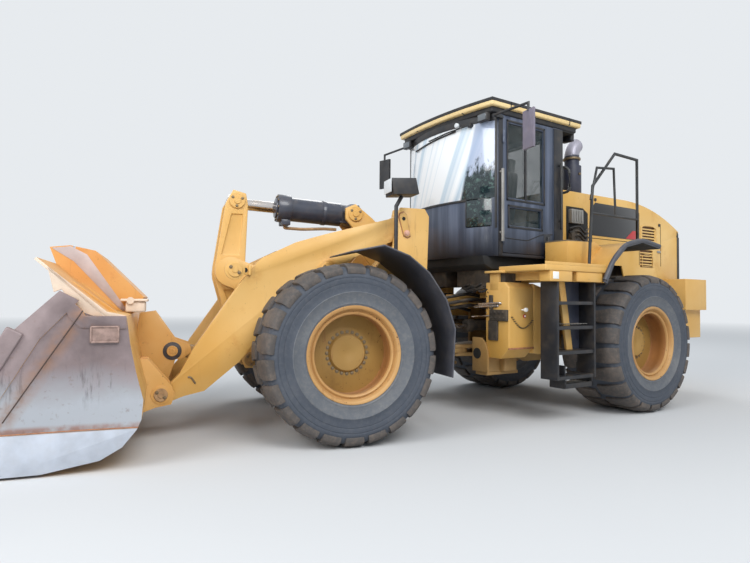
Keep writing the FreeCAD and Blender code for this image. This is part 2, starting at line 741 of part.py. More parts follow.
def hood():
    half, skin = S["hood_half"], S["hood_skin"]
    front, rear, top = -S["hood_split"] - 5, -hood_rear(), S["hood_top"]
    outside = slab("xz", (-half, half), hood_side(front, S["weight_notch"] + 20))
    inside = slab("xz", (skin - half, half - skin), (
        (front + 50, S["hood_low"] - 400), (front + 50, top - skin), (-2400, top - skin, 97),
        (rear, top - 340 - skin), (rear - 50, top - 340 - skin), (rear - 50, S["hood_low"] - 400),
    ))
    vents = []
    for x, z in VENTS:
        vents.append(block((x, x + 320), (-half - 5, half + 5), (z, z + 250)))
    tail = block((rear - 10, rear + 60), (skin - half, half - skin), (S["weight_notch"], S["hood_hinge_z"] - 20))
    hinge = rod("y", (-(hood_rear() - S["hood_hinge_in"]), S["hood_hinge_z"]), S["hood_pin"] + S["seat_gap"], (-half - 10, half + 10))
    swing = hood_swing()
    corner = carve(block((front - 150, front + 10), (-half - 5, half + 5), (S["hood_arch"] - 5, S["hood_hinge_z"])),
                   rod("y", (-(hood_rear() - S["hood_hinge_in"]), S["hood_hinge_z"]), swing, (-half - 6, half + 6)))
    shell = carve(outside, inside, tail, hinge, corner, *vents)
    blades = []
    for x, z in VENTS:
        for step in range(1, BLADES + 1):
            rise = z + 250 / (BLADES + 1) * step
            blades.append(block((x - 5, x + 325), (half - skin + 4, half - 6), (rise - 9, rise + 9)))
    node("hood", join(shell, *blades, *[mirrored(blade) for blade in blades]))


def hood_swing():
    """Radius about the hood's hinge that its lower front corner keeps to as it opens."""
    return hood_rear() - S["hood_hinge_in"] - S["hood_split"] - 5


def rear_grille():
    rear = -hood_rear() - 10
    low, high = S["weight_notch"], S["hood_top"] - 420
    half = S["hood_half"] - 20
    frame = carve(block((rear - 50, rear), (-half, half), (low, high)),
                  block((rear - 60, rear + 10), (-half + 60, half - 60), (low + 60, high - 60)))
    bars = [block((rear - 40, rear - 10), (-half + 50, half - 50), (z, z + 22))
            for z in (low + 60 + (high - low - 120) / 9 * step for step in range(1, 9))]
    x, z = -(hood_rear() - S["hood_hinge_in"]), S["hood_hinge_z"]
    inner = S["hood_half"] - S["hood_skin"] - 35
    lug = slab("xz", (inner, inner + 25), ((rear - 20, high - 80), (rear, high - 80), (x + 30, z - 15),
                                           (x + 30, z + 15), (x, z + 30), (rear - 20, high)))
    hinge = rod("y", (x, z), S["hood_pin"], (inner, S["hood_half"]))
    node("rear_grille", join(frame, *bars, lug, mirrored(lug), hinge, mirrored(hinge)))


def front_hood():
    half, skin = S["hood_half"], S["hood_skin"]
    reach, hinge_z = -S["hood_split"] - 150, S["hood_hinge_z"]
    outside = block((reach, -S["hood_front"]), (-half, half), (S["hood_arch"], S["hood_top"]))
    inside = block((reach - 10, -S["hood_front"] - skin), (skin - half, half - skin),
                   (S["hood_arch"] + skin, S["hood_top"] - skin))
    above = block((reach - 1, -S["hood_split"]), (-half - 1, half + 1), (hinge_z, S["hood_top"] + 1))
    below = rod("y", (-(hood_rear() - S["hood_hinge_in"]), hinge_z), hood_swing() + 8, (-half - 1, half + 1))
    node("front_hood", carve(outside, inside, above, below))


def exhaust_stack():
    x, y, radius = -S["stack_x"], S["stack_y"], S["stack_radius"]
    bend = radius * 2
    foot = rod("z", (x, y), radius + 25, (S["hood_top"], S["hood_top"] + 380))
    straight = rod("z", (x, y), radius, (S["hood_top"] + 380, S["stack_top"] - bend))
    elbow = doc.addObject("Part::Torus", "elbow")
    bind(elbow, "Radius1", bend)
    bind(elbow, "Radius2", radius)
    elbow.Angle3 = 60
    put(elbow, FreeCAD.Rotation(FreeCAD.Vector(1, 0, 0), 90), x=x - bend, y=y, z=S["stack_top"] - bend)
    node("exhaust_stack", join(foot, straight, elbow))


# Cab

def cab_plan(inset):
    """Plan of the cab, with its walls set in by inset and the bowed front."""
    half = S["cab_half"] - inset
    front, rear = S["cab_front"] - inset, inset - S["cab_rear"]
    return ((rear, half), (rear, -half), (front, -half, S["cab_bulge"]), (front, half))


def side_window():
    """Outline of the right side's window, which stands where the left side has its door."""
    post = S["post_width"]
    return ((-S["cab_rear"] + post * 2, S["sill"]), (-S["door_front"] + 40, S["sill"]),
            (-S["door_front"] + 40, S["window_top"]), (-S["cab_rear"] + post * 2, S["window_top"]))


def screen_openings(back):
    """The windscreen's opening, which reaches lower at both sides."""
    side = S["cab_half"] - S["post_width"]
    middle = block((back, S["cab_front"] + 400), (-side, side), (S["screen_low"], S["window_top"]))
    corner = block((back, S["cab_front"] + 400), (S["corner_in"], side), (S["corner_low"], S["window_top"]))
    return join(middle, corner, mirrored(corner))


def cab_shell():
    half, wall = S["cab_half"], S["cab_wall"]
    outside = slab("xy", (S["cab_low"], S["cab_high"]), cab_plan(0))
    inside = slab("xy", (S["cab_low"] + 40, S["cab_high"] + 10), cab_plan(wall))
    screen = screen_openings(S["cab_front"] - wall - 30)
    gap = S["door_gap"]
    doorway = block((-S["door_rear"] - gap, S["door_front"] + gap), (half - wall - 10, half + 10),
                    (S["door_low"] - gap, S["cab_high"] + 10))
    right = slab("xz", (-half - 10, wall + 10 - half), side_window())
    back = block((-S["cab_rear"] - 10, wall - S["cab_rear"] + 10), (-half + 150, half - 150),
                 (S["sill"] + 60, S["window_top"]))
    shell = carve(outside, inside, screen, doorway, right, back)
    leaves = [hinge_part(z - 70 - S["seat_gap"], 70, S["door_front"] + gap) for z in HINGES]
    node("cab_shell", join(shell, *leaves))


HINGES = (2000, 3120)


def hinge_axis():
    """Where the door's hinges stand, just outside its front edge."""
    return S["door_front"] + S["door_gap"] / 2, S["cab_half"] + S["door_hinge"]


def hinge_part(low, long, edge):
    """A knuckle on the door's hinge axis with a leaf that reaches past edge."""
    x, y = hinge_axis()
    knuckle = rod("z", (x, y), S["door_hinge"], (low, low + long))
    span = (edge, edge + 30) if edge.number > x.number else (edge - 30, edge)
    inward = (x, span[1]) if edge.number > x.number else (span[0], x)
    leaf = block(inward, (S["cab_half"], S["cab_half"] + 10), (low, low + long))
    return join(knuckle, leaf)


def cab_glass():
    half, wall = S["cab_half"], S["cab_wall"]
    glass = S["glass"]
    inset = wall / 2 - glass / 2
    band = carve(slab("xy", (S["corner_low"], S["window_top"]), cab_plan(inset)),
                 slab("xy", (S["corner_low"] - 10, S["window_top"] + 10), cab_plan(inset + glass)))
    front = doc.addObject("Part::Common", "screen")
    front.Base = band
    front.Tool = screen_openings(size(-100))
    right = slab("xz", (inset - half, inset + glass - half), side_window())
    back = block((inset - S["cab_rear"], inset + glass - S["cab_rear"]), (150 - half, half - 150),
                 (S["sill"] + 60, S["window_top"]))
    node("cab_glass", group(front, right, back))


def door_openings():
    """Upper and lower window of the door, low and high along X and Z."""
    front, rear = S["door_front"], -S["door_rear"]
    return (((rear + 170, front - 80), (2450, 3290)), ((rear + 210, front - 100), (2140, 2340)))


def cab_door():
    half, wall = S["cab_half"], S["cab_wall"]
    panel = block((-S["door_rear"], S["door_front"]), (half - wall, half),
                  (S["door_low"], S["cab_high"] - S["door_gap"]))
    holes = [block(x, (half - wall - 10, half + 10), z) for x, z in door_openings()]
    leaves = [hinge_part(size(z), 70, S["door_front"]) for z in HINGES]
    node("cab_door", join(carve(panel, *holes), *leaves))
    inset = wall / 2
    panes = [block(x, (half - inset, half - inset + S["glass"]), z) for x, z in door_openings()]
    node("door_glass", group(*panes))


def cab_roof():
    front, rear, half = S["roof_front"], -S["roof_rear"], S["roof_half"]
    base = S["cab_high"]
    under = slab("xy", (base, base + 60), ((rear + 40, half - 40), (rear + 40, 40 - half),
                                           (front - 40, 40 - half, 60), (front - 40, half - 40)))
    cover = slab("xy", (base + 60, S["roof_top"]), ((rear, half), (rear, -half),
                                                    (front, -half, 70), (front, half)))
    node("cab_roof", join(under, cover))


def roof_lamps():
    """Lamps under the roof's overhang at the front and the rear."""
    high, deep = S["cab_high"], S["lamp_high"]
    pieces = []
    span = (S["lamp_y"], S["lamp_y"] + S["lamp_wide"])
    for x in (S["roof_front"] + 10 - S["lamp_deep"], 30 - S["roof_rear"]):
        lamp = block((x, x + S["lamp_deep"]), span, (high - deep, high))
        pieces += [lamp, mirrored(lamp)]
    node("roof_lamps", group(*pieces))


def seat():
    floor = S["cab_low"] + 40
    base = block((-720, -420), (-180, 180), (floor, floor + 330))
    cushion = block((-780, -300), (-260, 260), (floor + 330, floor + 460))
    back = slab("xz", (-240, 240), ((-780, floor + 440), (-660, floor + 440), (-740, floor + 1130),
                                    (-840, floor + 1130)))
    node("seat", join(base, cushion, back))


def steering_console():
    floor = S["cab_low"] + 40
    column = slab("xz", (-60, 60), ((20, floor), (120, floor), (0, floor + 700), (-90, floor + 660)))
    ring = turned(spun(((174, 0), (182, -14), (198, -14), (206, 0), (198, 14), (182, 14)), (0, 0)),
                  FreeCAD.Vector(1, 0, 0), 90)
    ring = turned(ring, FreeCAD.Vector(0, 1, 0), -25, x=-55, z=floor + 665)
    spoke = block((-210, 110), (-25, 25), (-12, 12))
    bar = turned(spoke, FreeCAD.Vector(0, 1, 0), -25, x=-30, z=floor + 655)
    node("steering_console", join(column, ring, bar))


def mirrors():
    half = S["cab_half"]
    arm = pipe("yz", 190, ((half + 5, 3330), (1300, 3330), (1300, 3240)), 14)
    bracket = block((60, 204), (half, half + 30), (3316, 3344))
    glass = slab("xy", (2860, 3260), ((150, 1210), (175, 1210), (215, 1390), (190, 1390)))
    node("mirrors", both(join(arm, bracket, glass)))


# Platforms, steps and fenders

def platforms():
    deck = block((-S["deck_rear"], S["deck_front"]), (S["cab_half"] + 10, S["deck_half"]),
                 (S["deck_top"] - S["deck_thick"], S["deck_top"]))
    node("platforms", both(deck))


def rear_fenders():
    x = -axle_x()
    outer = ((x + 935, 1500), (x + 785, 1740), (x + 555, 1930), (x + 235, 2000), (x - 130, 1945))
    inner = ((x - 130, 1930), (x + 235, 1982), (x + 545, 1913), (x + 770, 1728), (x + 916, 1492))
    skin = slab("xz", (S["hood_half"] + 10, S["deck_half"] + 30), outer + inner)
    flange = slab("xz", (S["hood_half"], S["hood_half"] + 30), ((x + 555, 1930), (x + 235, 2000), (x + 30, 1969),
                                                                (x + 30, 1920), (x + 235, 1940), (x + 545, 1880)))
    rim = S["deck_half"] + 30
    lip = slab("xz", (rim - S["fender_lip"], rim), (
        (x + 957, 1514), (x + 802, 1760), (x + 562, 1954), (x + 232, 2024), (x - 135, 1969),
        (x - 130, 1935), (x + 235, 1990), (x + 549, 1920), (x + 777, 1733), (x + 925, 1495)))
    node("rear_fenders", both(join(skin, flange, lip)))


def handrails():
    y, radius, deck = S["rail_y"], S["rail_radius"], S["deck_top"]
    outer = pipe("xz", y, ((-860, deck + 6), (-930, 2610), (-1350, 3040), (-1800, 3030), (-1800, 1970)),
                 radius)
    middle = pipe("xz", y, ((-905, 2300), (-1800, 2300)), radius * 0.8)
    inner = pipe("xz", y, ((-895, 2450), (-1010, 2830), (-1330, 2860), (-1360, 2290)), radius * 0.8)
    foot = rod("z", (-860, y), radius + 15, (deck, deck + 12))
    node("handrails", both(join(outer, middle, inner, foot)))


def grab_rails():
    """Rails on the cab's side, ahead of the door and behind it."""
    y = S["cab_half"] + S["grab_out"]
    reach = y - S["cab_half"] - S["rail_radius"] / 2
    pieces = []
    hinge_clear, end = 100, 30
    for x, low, high in ((85, 1950, 2750), (-900, 2150, 2950)):
        bar = rod("z", (x, y), S["rail_radius"], (low, high))
        feet = [rod("y", (x, z), S["rail_radius"] * 0.8, (S["cab_half"], S["cab_half"] + reach))
                for z in (low + hinge_clear, high - end)]
        pieces.append(join(bar, *feet))
    node("grab_rails", group(*pieces))


def ladders():
    y, low = S["ladder_y"], S["ladder_low"]
    top = S["deck_top"] - S["deck_thick"] - S["beam_depth"]
    sides = [block((x, x + 25), (y - 110, y + 110), (low, top))
             for x in (-S["ladder_rear"], -S["ladder_front"] - 25)]
    steps = [block((-S["ladder_rear"] + 20, -S["ladder_front"] - 20), (y - 100, y + 100), (z, z + 35))
             for z in (low + (top - low) / 4 * step for step in range(4))]
    node("ladders", both(join(*sides, *steps)))


def side_tanks():
    front, rear = S["tank_front"], -S["tank_rear"]
    outer, inner = S["tank_half"], S["tank_inner"]
    body = slab("yz", (rear, front), (
        (inner, S["tank_low"]), (outer - 120, S["tank_low"]), (outer, S["tank_low"] + 120),
        (outer, S["tank_top"] - 60), (outer - 60, S["tank_top"]), (inner, S["tank_top"]),
    ))
    clear = S["steer_z"] + S["steer_barrel"] + 40
    arm = block((rear, -120), (S["frame_half"], inner), (clear, clear + 100))
    stay = block((-700, rear), (S["frame_half"], S["frame_half"] + 60), (clear, clear + 100))
    node("side_tanks", both(join(body, arm, stay)))


# Front half

def front_frame():
    half, plate = S["box_half"], S["frame_plate"]
    x = axle_x()
    seat_z = front_seat()
    pieces = []
    top = S["hitch_top"] + S["ear_thick"] / 2
    for middle in (S["hitch_top"], S["hitch_low"]):
        span = (middle - S["ear_thick"] / 2, middle + S["ear_thick"] / 2)
        plates = join(*hitch_plate(S["nose_reach"] + 60, half, span))
        pieces.append(carve(plates, rod("z", (0, 0), S["hitch_pin"] + S["seat_gap"], span)))
    side = slab("xz", (half - plate, half), (
        (S["nose_reach"], top), (S["nose_reach"], S["hitch_low"] - S["ear_thick"] / 2),
        (x - 500, S["hitch_low"] - 60), (x - 320, seat_z), (x + 300, seat_z), (x + 420, seat_z - 200),
        (x + 480, seat_z - 150), (x + 480, seat_z + 80), (x + 100, seat_z + 330), (x - 300, top + 120),
    ))
    pieces += [side, mirrored(side)]
    inside = (plate - half, half - plate)
    pieces.append(block((x + 440, x + 480), inside, (seat_z - 100, seat_z + 80)))
    pieces.append(block((x - 300, x + 300), inside, (seat_z, seat_z + plate)))
    pieces.append(block((S["nose_reach"] + 20, S["nose_reach"] + 60), inside, (S["hitch_low"], top)))
    inner = slab("xz", (S["tower_inner"], S["tower_inner"] + S["tower_inner_plate"]), tower_inner())
    outer = slab("xz", (S["tower_outer"], S["tower_outer"] + S["tower_outer_plate"]), tower_outer())
    floor = block((800, x - 300), (half - 10, S["tower_outer"] + 10), (1060, 1100))
    back = block((730, 770), (S["tower_inner"] + 10, S["tower_outer"] + 10), (1060, 1800))
    cross = block((740, 880), (-S["tower_inner"] - 10, S["tower_inner"] + 10), (1640, 1800))
    channel = block((780, x - 350), (S["lift_y"] - S["lift_barrel"] - 12, S["lift_y"] + S["lift_barrel"] + 12),
                    (1000, 1150))
    floor = carve(floor, channel)
    pieces += [inner, mirrored(inner), outer, mirrored(outer), floor, mirrored(floor),
               back, mirrored(back), cross]
    shelf = block((x - 420, x - 300), (half - 10, S["tower_outer"] + 10), (1060, 1100))
    pieces += [shelf, mirrored(shelf)]
    e_x, e_z = pin("e")
    ear_y = S["lever_half"] - 10
    ear = slab("xz", (ear_y - 40, ear_y), (
        (740, 1640), (1000, 1640), (e_x + 110, e_z - 60), (e_x + 110, e_z + 60), (e_x, e_z + 110),
        (e_x - 200, e_z - 40), (740, 1800),
    ))
    tilt_pin = rod("y", pin("e"), S["pin_radius"], (-ear_y, ear_y))
    pieces += [ear, mirrored(ear), tilt_pin]
    arm_pin = rod("y", pin("a"), S["pin_radius"],
                  (S["tower_inner"], S["tower_outer"] + S["tower_outer_plate"]))
    lift_pin = rod("y", pin("g"), S["pin_radius"], (half - 10, S["tower_inner"] + 10))
    pieces += [arm_pin, mirrored(arm_pin), lift_pin, mirrored(lift_pin)]
    eye_x, eye_y = S["steer_eye_x"], S["steer_eye_y"]
    for sign in (-1, 1):
        low = S["steer_z"] + sign * 55
        span = (low, low + 30) if sign > 0 else (low - 30, low)
        ears = slab("xy", span, ((eye_x + 60, half - 30), (eye_x + 250, half - 30),
                                 (eye_x + 120, eye_y + 60), (eye_x - 60, eye_y + 60),
                                 (eye_x - 60, eye_y - 60), (eye_x + 30, half - 30)))
        pieces += [ears, mirrored(ears)]
    node("front_frame", join(*pieces), front=True)


def tower_inner():
    a_x, a_z = pin("a")
    g_x, g_z = pin("g")
    x = axle_x()
    return ((g_x - 90, g_z - 90), (g_x + 90, g_z - 90), (x - 340, 1060), (x - 200, 1260), (x - 420, 1560),
            (a_x + 190, a_z - 260), (a_x + 110, S["tower_top"]), (a_x - 170, S["tower_top"]),
            (a_x - 220, S["tower_top"] - 80), (g_x - 90, 1250))


def tower_outer():
    a_x, a_z = pin("a")
    x = axle_x()
    return ((730, 1060), (x - 340, 1060), (x - 200, 1260), (x - 420, 1560), (a_x + 190, a_z - 260),
            (a_x + 110, S["tower_top"]), (a_x - 170, S["tower_top"]), (a_x - 220, S["tower_top"] - 80),
            (730, 1300))


def front_fenders():
    x = axle_x()
    outer = ((x + 25, 1725), (x - 260, 1787), (x - 505, 1700), (x - 705, 1550), (x - 885, 1300),
             (x - 975, 1030), (x - 950, 580))
    inner = ((x - 935, 580), (x - 959, 1030), (x - 870, 1293), (x - 693, 1540), (x - 498, 1686),
             (x - 259, 1771), (x + 25, 1709))
    wing = slab("xz", (S["tower_outer"] + S["tower_outer_plate"], (S["track"] + S["tyre_width"]) / 2),
                outer + inner)
    node("front_fenders", both(wing), front=True)


def work_lamps():
    x = axle_x()
    post = pipe("xz", 900, ((x - 605, 1640), (x - 605, 2240), (x - 665, 2345)), 20)
    lamp = slab("xz", (790, 1010), ((x - 810, 2360), (x - 535, 2340), (x - 513, 2500), (x - 775, 2520)))
    node("work_lamps", both(join(post, lamp)), front=True)


def lift_arms():
    inner, thick = S["arm_inner"], S["arm_thick"]
    span = (inner, inner + thick)
    a, b, h, p = pin("a"), pin("b"), pin("h"), pin("p")
    cross = (S["cross_x"], S["cross_z"])
    plate = slab("xz", span, (
        (a[0], a[1] - 130), (a[0] + 600, a[1] - 390), (b[0] - 800, b[1] + 410), (b[0] - 700, b[1] + 275),
        (b[0] - 380, b[1] + 10), (b[0] - 200, b[1] - 30), (b[0] - 150, b[1] - 48), (b[0] - 70, b[1] - 80),
        (b[0], b[1]), (b[0] - 160, b[1] + 180),
        (b[0] - 285, b[1] + 420), (b[0] - 520, b[1] + 760), (b[0] - 690, b[1] + 1020),
        (b[0] - 855, b[1] + 1230), (b[0] - 910, b[1] + 1280), (a[0] + 1210, a[1] - 260),
        (a[0] + 910, a[1] - 165), (a[0] + 210, a[1] + 30), (a[0], a[1] + 130),
    ))
    pieces = [plate, rod("y", a, 130, span), rod("y", b, 105, span)]
    stub = rod("y", h, S["pin_radius"], (S["lift_y"] + 60, inner + 10))
    pieces += [stub, rod("y", h, 85, (inner - 30, inner + 10))]
    ear_y = S["lever_half"] + S["side_gap"]
    ear = slab("xz", (ear_y, ear_y + 50), (
        (cross[0] - 60, cross[1] - 160), (cross[0] + 120, cross[1] - 130), (p[0] + 40, p[1] - 145),
        (p[0] + 130, p[1] + 70), (p[0] - 40, p[1] + 145), (cross[0] - 120, cross[1] + 100),
    ))
    pieces += [ear, rod("y", p, 150, (ear_y, ear_y + 50))]
    far = inner + thick
    pieces += [rod("y", p, 95, (far - 10, far + S["keeper"])),
               block((p[0] - 150, p[0] + 60), (far - 5, far + S["keeper"] - 8), (p[1] - 45, p[1] + 45)),
               rod("y", h, 95, (far - 10, far + S["keeper"] - 6))]
    holes = [rod("y", a, S["pin_radius"] + S["seat_gap"], (inner - 10, inner + thick + 10)),
             rod("y", b, S["pin_radius"] + S["seat_gap"], (inner - 10, inner + thick + 10))]
    arm = carve(join(*pieces), *holes)
    tube = rod("y", cross, S["cross_radius"], (-inner - 10, inner + 10))
    lever_pin = rod("y", p, S["pin_radius"], (-ear_y - 50, ear_y + 50))
    node("lift_arms", join(arm, mirrored(arm), tube, lever_pin), front=True)


def tilt_lever():
    half, plate = S["lever_half"], S["lever_plate"]
    p, t, d = pin("p"), pin("t"), pin("d")
    outline = (
        (t[0] + 115, t[1] - 30), (t[0] + 40, t[1] + 112), (t[0] - 90, t[1] + 80), (t[0] - 112, t[1] - 40),
        (p[0] - 150, p[1] + 60), (p[0] - 170, p[1] - 60), (p[0] - 200, p[1] - 350), (d[0] - 105, d[1] + 40),
        (d[0] - 60, d[1] - 90), (d[0] + 60, d[1] - 90), (d[0] + 110, d[1] + 20), (p[0] + 60, p[1] - 380),
        (p[0] + 150, p[1] - 60), (p[0] + 150, p[1] + 60),
    )
    sunk = slab("xz", (half - S["lever_sink"], half + 1), (
        (p[0] + 90, p[1] + 175), (t[0] + 55, t[1] - 140), (t[0] - 60, t[1] - 140), (p[0] - 90, p[1] + 175)))
    lower = slab("xz", (half - S["lever_sink"], half + 1), (
        (p[0] + 60, p[1] - 185), (p[0] - 110, p[1] - 185), (p[0] - 135, p[1] - 350), (d[0] - 50, d[1] + 130),
        (d[0] + 50, d[1] + 130), (p[0] - 10, p[1] - 380)))
    side = carve(slab("xz", (half - plate, half), outline), sunk, lower)
    bore = rod("y", p, S["pin_radius"] + S["seat_gap"], (-half - 10, half + 10))
    drum = rod("y", p, 130, (-half, half))
    web = slab("xz", (plate - half - 10, half - plate + 10), (
        (p[0] - 70, p[1] + 200), (p[0] - 20, p[1] + 200), (p[0] - 20, p[1] - 330), (p[0] - 75, p[1] - 330),
    ))
    node("tilt_lever", carve(join(side, mirrored(side), drum, web), bore), front=True)


def tilt_link():
    c, d = pin("c"), pin("d")
    half = S["lever_half"] - S["lever_plate"] - S["side_gap"]
    bar = slab("xz", (-half, half), ((d[0], d[1] - 60), (c[0], c[1] - 60), (c[0], c[1] + 60),
                                     (d[0], d[1] + 60)))
    ends = [rod("y", place, 90, (-half, half)) for place in (c, d)]
    holes = [rod("y", place, S["pin_radius"] + S["seat_gap"], (-half - 10, half + 10)) for place in (c, d)]
    node("tilt_link", carve(join(bar, *ends), *holes), front=True)


# Cylinders, drawn along X from the base pin and then turned to their rest angle

def length_between(start, end):
    run, climb = end[0] - start[0], end[1] - start[1]
    return root(run * run + climb * climb)


GLAND = 14


def barrel(radius, long, bore, eye_half, hole, axis):
    """A barrel with its eye at the origin; the eye's pin runs along the axis."""
    tube = rod("x", (0, 0), radius, (radius, long - 70))
    gland = rod("x", (0, 0), radius + GLAND, (long - 90, long))
    eye = rod(axis, (0, 0), radius * 0.95, (-eye_half, eye_half))
    neck = block((0, radius + 20), (-eye_half, eye_half), (-eye_half, eye_half))
    cavity = rod("x", (0, 0), bore, (radius + 15, long + 10))
    drilled = rod(axis, (0, 0), hole, (-eye_half - 10, eye_half + 10))
    return carve(join(tube, gland, eye, neck), cavity, drilled)


def piston_rod(radius, start, end, eye_radius, eye_half, hole, axis):
    """A rod from inside its barrel to the eye at end."""
    bar = rod("x", (0, 0), radius, (start, end - eye_radius / 2))
    eye = rod(axis, (end, 0), eye_radius, (-eye_half, eye_half))
    drilled = rod(axis, (end, 0), hole, (-eye_half - 10, eye_half + 10))
    return carve(join(bar, eye), drilled)


def linkage_cylinder(name, start, end, y, eye, copies):
    """A barrel and a rod in the plane of the linkage."""
    turn = heading(end[1] - start[1], end[0] - start[0])
    far = length_between(start, end)
    hole = S["pin_radius"] + S["seat_gap"]
    bar = S[f"{name}_rod"]
    pieces = (
        ("barrel", barrel(S[f"{name}_barrel"], S[f"{name}_barrel_long"], bar + S["seat_gap"] * 2,
                          eye[0], hole, "y")),
        ("rod", piston_rod(bar, far - S[f"{name}_rod_long"], far, eye[1], eye[2], hole, "y")),
    )
    for part, item in pieces:
        placed = turned(item, PITCH, turn, x=start[0], y=y, z=start[1])
        node(f"{name}_{part}", both(placed) if copies == 2 else placed, front=True)


def lift_cylinders():
    start, end = pin("g"), pin("h")
    linkage_cylinder("lift", start, end, S["lift_y"], (60, 76, 50), 2)


def tilt_cylinder():
    start, end = pin("e"), pin("t")
    linkage_cylinder("tilt", start, end, 0, (100, 100, 90), 1)


def steering_cylinders():
    for name, side in (("left", 1), ("right", -1)):
        x, y = S["steer_eye_x"], S["steer_eye_y"] * side
        angle = S["steer_rest"]
        end = (x * cosine(angle) + y * sine(angle), y * cosine(angle) - x * sine(angle))
        start = (-S["steer_base_x"], S["steer_base_y"] * side)
        turn = heading(end[1] - start[1], end[0] - start[0])
        far = length_between(start, end)
        pieces = (
            ("barrel", barrel(S["steer_barrel"], S["steer_barrel_long"], S["steer_rod"] + S["seat_gap"] * 2,
                              S["steer_barrel"] - 5, 30 + S["seat_gap"], "z")),
            ("rod", piston_rod(S["steer_rod"], far - S["steer_rod_long"], far, 48, 45, 30, "z")),
        )
        for part, item in pieces:
            placed = turned(item, UP, turn, x=start[0], y=start[1], z=S["steer_z"])
            node(f"steer_{part}_{name}", placed)


# Bucket, in the front half's frame with its floor on the ground

def bucket_back():
    """Outside of the floor and back, from the cutting edge round to the top."""
    tip, low = S["bucket_tip"], S["bucket_clear"]
    b_x, b_z = pin("b")
    return (
        (tip, low), (b_x + 790, low + 15), (b_x + 410, b_z - 330), (b_x + 260, b_z - 245),
        (b_x + 160, b_z - 120), (b_x + 130, b_z - 50), (b_x + 120, b_z + 100), (b_x + 175, b_z + 310),
        (b_x + 220, b_z + 520), (b_x + 250, b_z + 735),
    )


def bucket_cavity():
    """Inside of the floor and back, then round in front of the mouth."""
    tip, low = S["bucket_tip"], S["bucket_clear"]
    b_x, b_z = pin("b")
    return (
        (tip + 50, low + 32), (b_x + 800, low + 50), (b_x + 425, b_z - 290), (b_x + 290, b_z - 215),
        (b_x + 195, b_z - 100), (b_x + 167, b_z - 35), (b_x + 157, b_z + 100), (b_x + 212, b_z + 305),
        (b_x + 257, b_z + 515), (b_x + 288, b_z + 775), (b_x + 900, b_z + 1400), (tip + 50, b_z + 1400),
    )


def wear_plates():
    """Raised steel on the outside of a side plate: heel, front strip and upper corner."""
    half = S["bucket_half"]
    tip, low = S["bucket_tip"], S["bucket_clear"]
    b_x, b_z = pin("b")
    wide, back = S["cutter_wide"], half - S["wear_thick"] - 1
    heel = ((b_x + 790, low + 15), (b_x + 410, b_z - 330), (b_x + 260, b_z - 245), (b_x + 160, b_z - 120),
            (b_x + 157, S["wear_top"]), (b_x + 1050, S["wear_top"]), (b_x + 1050, low + 12))
    strip = ((tip - 90 - wide, low + 60), (tip - 90, low + 60), (tip - 250, b_z - 60), (b_x + 990, b_z + 630),
             (b_x + 700, b_z + 920), (b_x + 700 - wide, b_z + 850), (b_x + 950 - wide, b_z + 570),
             (tip - 270 - wide, b_z - 90))
    crown = ((b_x + 250, b_z + 640), (b_x + 250, b_z + 735), (b_x + 530, b_z + 735), (b_x + 560, b_z + 790),
             (b_x + 700, b_z + 920), (b_x + 640, b_z + 730), (b_x + 560, b_z + 650))
    return [slab("xz", (back, half), outline) for outline in (heel, strip, crown)]


